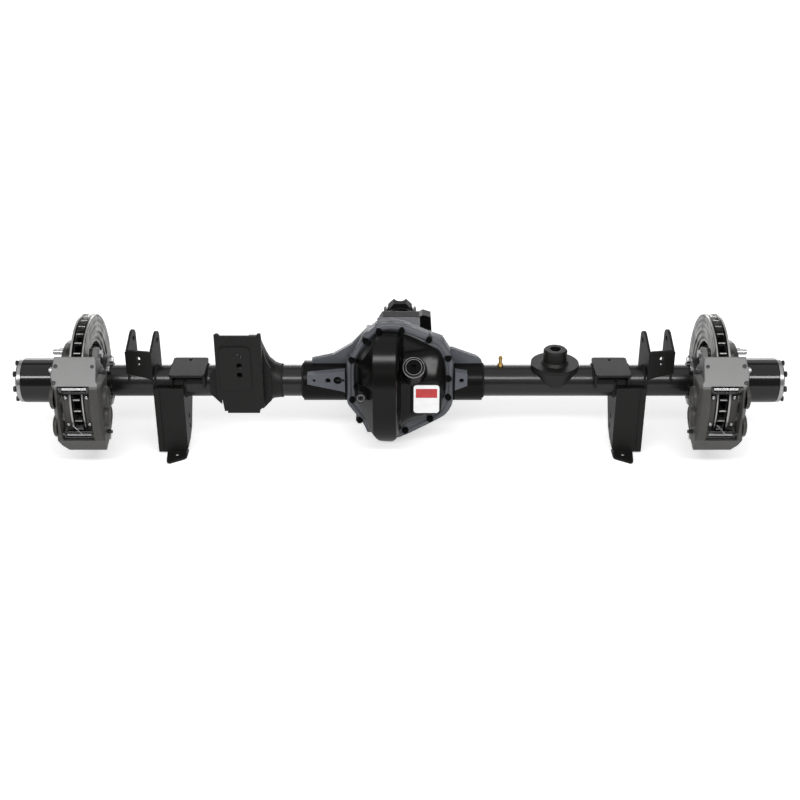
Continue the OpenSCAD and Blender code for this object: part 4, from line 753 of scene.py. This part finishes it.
beads = [bead(side * x, BEAD_R, a, b) for side in (1, -1) for x, a, b in BRACKET_BEADS]
beads += [bead(x, BOSS_BEAD_R, -180, 179, 3.6) for x in (-252.5, 215.5)]
beads += [bead(-308.0, BEAD_R, -180, 179, 2.6)]
put("weld_beads", "housing", bracket_black, "bracket_black", *beads)

# Yoke: bright strap plates on the shoulders of its ears, in millimetres
STRAP_X, STRAP_Z, STRAP_HALF = 37.0, 52.0, 5.0
STRAP_FROM_Y, STRAP_TO_Y, STRAP_SQUASH = 342.0, 378.0, 0.45


def strap(sx, sz):
    """A flat bar along the pinion's axis: a squashed round profile carried along a line, ends closed."""
    y = np.linspace(STRAP_FROM_Y, STRAP_TO_Y, 14)
    path = np.stack([np.full_like(y, sx * STRAP_X), y, np.full_like(y, sz * STRAP_Z)], axis=1)
    half = STRAP_HALF * np.sqrt(end_share(len(y), 2.0))
    return carried(mm(path), mm(half), up=(sx * 0.7, 0.0, sz * 0.7), n=12, squash=STRAP_SQUASH)


straps = [strap(sx, sz) for sx in (-1, 1) for sz in (-1, 1)]
put("yoke_straps", "pinion", bright_steel, "bright_steel", *straps)

# Camera: the photograph's place, behind the axle and above it, turned down a little below its middle
CAMERA_AWAY = 3.5
CAMERA_LIFT, CAMERA_DOWN = math.radians(27.0), math.radians(0.852)
camera = bpy.data.objects.new("camera", bpy.data.cameras.new("camera"))
scene.collection.objects.link(camera)
camera.location = (0.0, -CAMERA_AWAY * math.cos(CAMERA_LIFT), CAMERA_AWAY * math.sin(CAMERA_LIFT))
camera.rotation_euler = (math.pi / 2 - CAMERA_LIFT - CAMERA_DOWN, 0.0, 0.0)
camera.data.lens = 59.9
camera.data.sensor_width = 36.0
camera.data.clip_end = 100.0
scene.camera = camera

# Stage: pale floor, white world and soft lamps
FLOOR_HALF = 40.0
FLOOR_FADE, FLOOR_GLOW = (0.9, 3.0), (0.45, 1.0)
WORLD_LIGHT, WORLD_SEEN_MORE = 0.20, 0.80

# Lamps: name, place, size in metres and watts
LAMPS = (
    ("overhead", (0.0, -0.4, 3.4), (6.0, 4.0), 45.0),
    ("front_strip", (0.0, -2.35, 2.18), (5.0, 0.45), 100.0),
    ("front_fill", (0.0, -4.5, 1.6), (3.0, 0.8), 3.0),
    ("back_sheen", (0.0, 3.4, 2.4), (5.0, 2.5), 24.0),
    ("nose_side_low", (0.0, 4.2, 0.7), (5.0, 0.9), 55.0),
)


def floor_finish():
    """Matt white that glows to the camera only, more with the distance from the middle."""
    m = bpy.data.materials.new("floor_white")
    m.use_nodes = True
    t = m.node_tree
    s = t.nodes["Principled BSDF"]
    where = t.nodes.new("ShaderNodeTexCoord").outputs["Object"]
    t.links.new(ramp(t, noise(t, where, 3.0), [(0.3, 0.88), (0.7, 0.90)]), s.inputs["Base Color"])
    s.inputs["Roughness"].default_value = 0.9
    s.inputs["Specular IOR Level"].default_value = 0.0
    s.inputs["Emission Color"].default_value = (1, 1, 1, 1)
    seen = t.nodes.new("ShaderNodeLightPath").outputs["Is Camera Ray"]
    reach = t.nodes.new("ShaderNodeVectorMath")
    reach.operation = "LENGTH"
    t.links.new(where, reach.inputs[0])
    glow = fade(t, reach.outputs["Value"], FLOOR_FADE, FLOOR_GLOW)
    t.links.new(times(t, seen, glow), s.inputs["Emission Strength"])
    return m


def make_floor(z, half):
    """A flat square at a height."""
    mesh = bpy.data.meshes.new("floor")
    corners = [(-half, -half, z), (half, -half, z), (half, half, z), (-half, half, z)]
    mesh.from_pydata(corners, [], [(0, 1, 2, 3)])
    mesh.materials.append(floor_finish())
    obj = bpy.data.objects.new("floor", mesh)
    scene.collection.objects.link(obj)


def soft_lamp(name, place, size, watts):
    """A rectangular lamp that faces the middle of the axle."""
    data = bpy.data.lights.new(name, "AREA")
    data.shape = "RECTANGLE"
    data.size, data.size_y = size
    data.energy = watts
    lamp = bpy.data.objects.new(name, data)
    scene.collection.objects.link(lamp)
    x, y, z = place
    lamp.location = place
    lamp.rotation_euler = (math.atan2(math.hypot(x, y), z), 0.0, math.atan2(-y, -x) - math.pi / 2)


make_floor(FLOOR_Z, FLOOR_HALF)
world = bpy.data.worlds.new("studio")
scene.world = world
world.use_nodes = True
sky = world.node_tree
background = sky.nodes["Background"]
background.inputs["Color"].default_value = (1, 1, 1, 1)
seen_by_camera = sky.nodes.new("ShaderNodeLightPath").outputs["Is Camera Ray"]
strength = plus(sky, times(sky, seen_by_camera, WORLD_SEEN_MORE), WORLD_LIGHT)
sky.links.new(strength, background.inputs["Strength"])
for name, place, size, watts in LAMPS:
    soft_lamp(name, place, size, watts)
scene.view_settings.view_transform = "Standard"
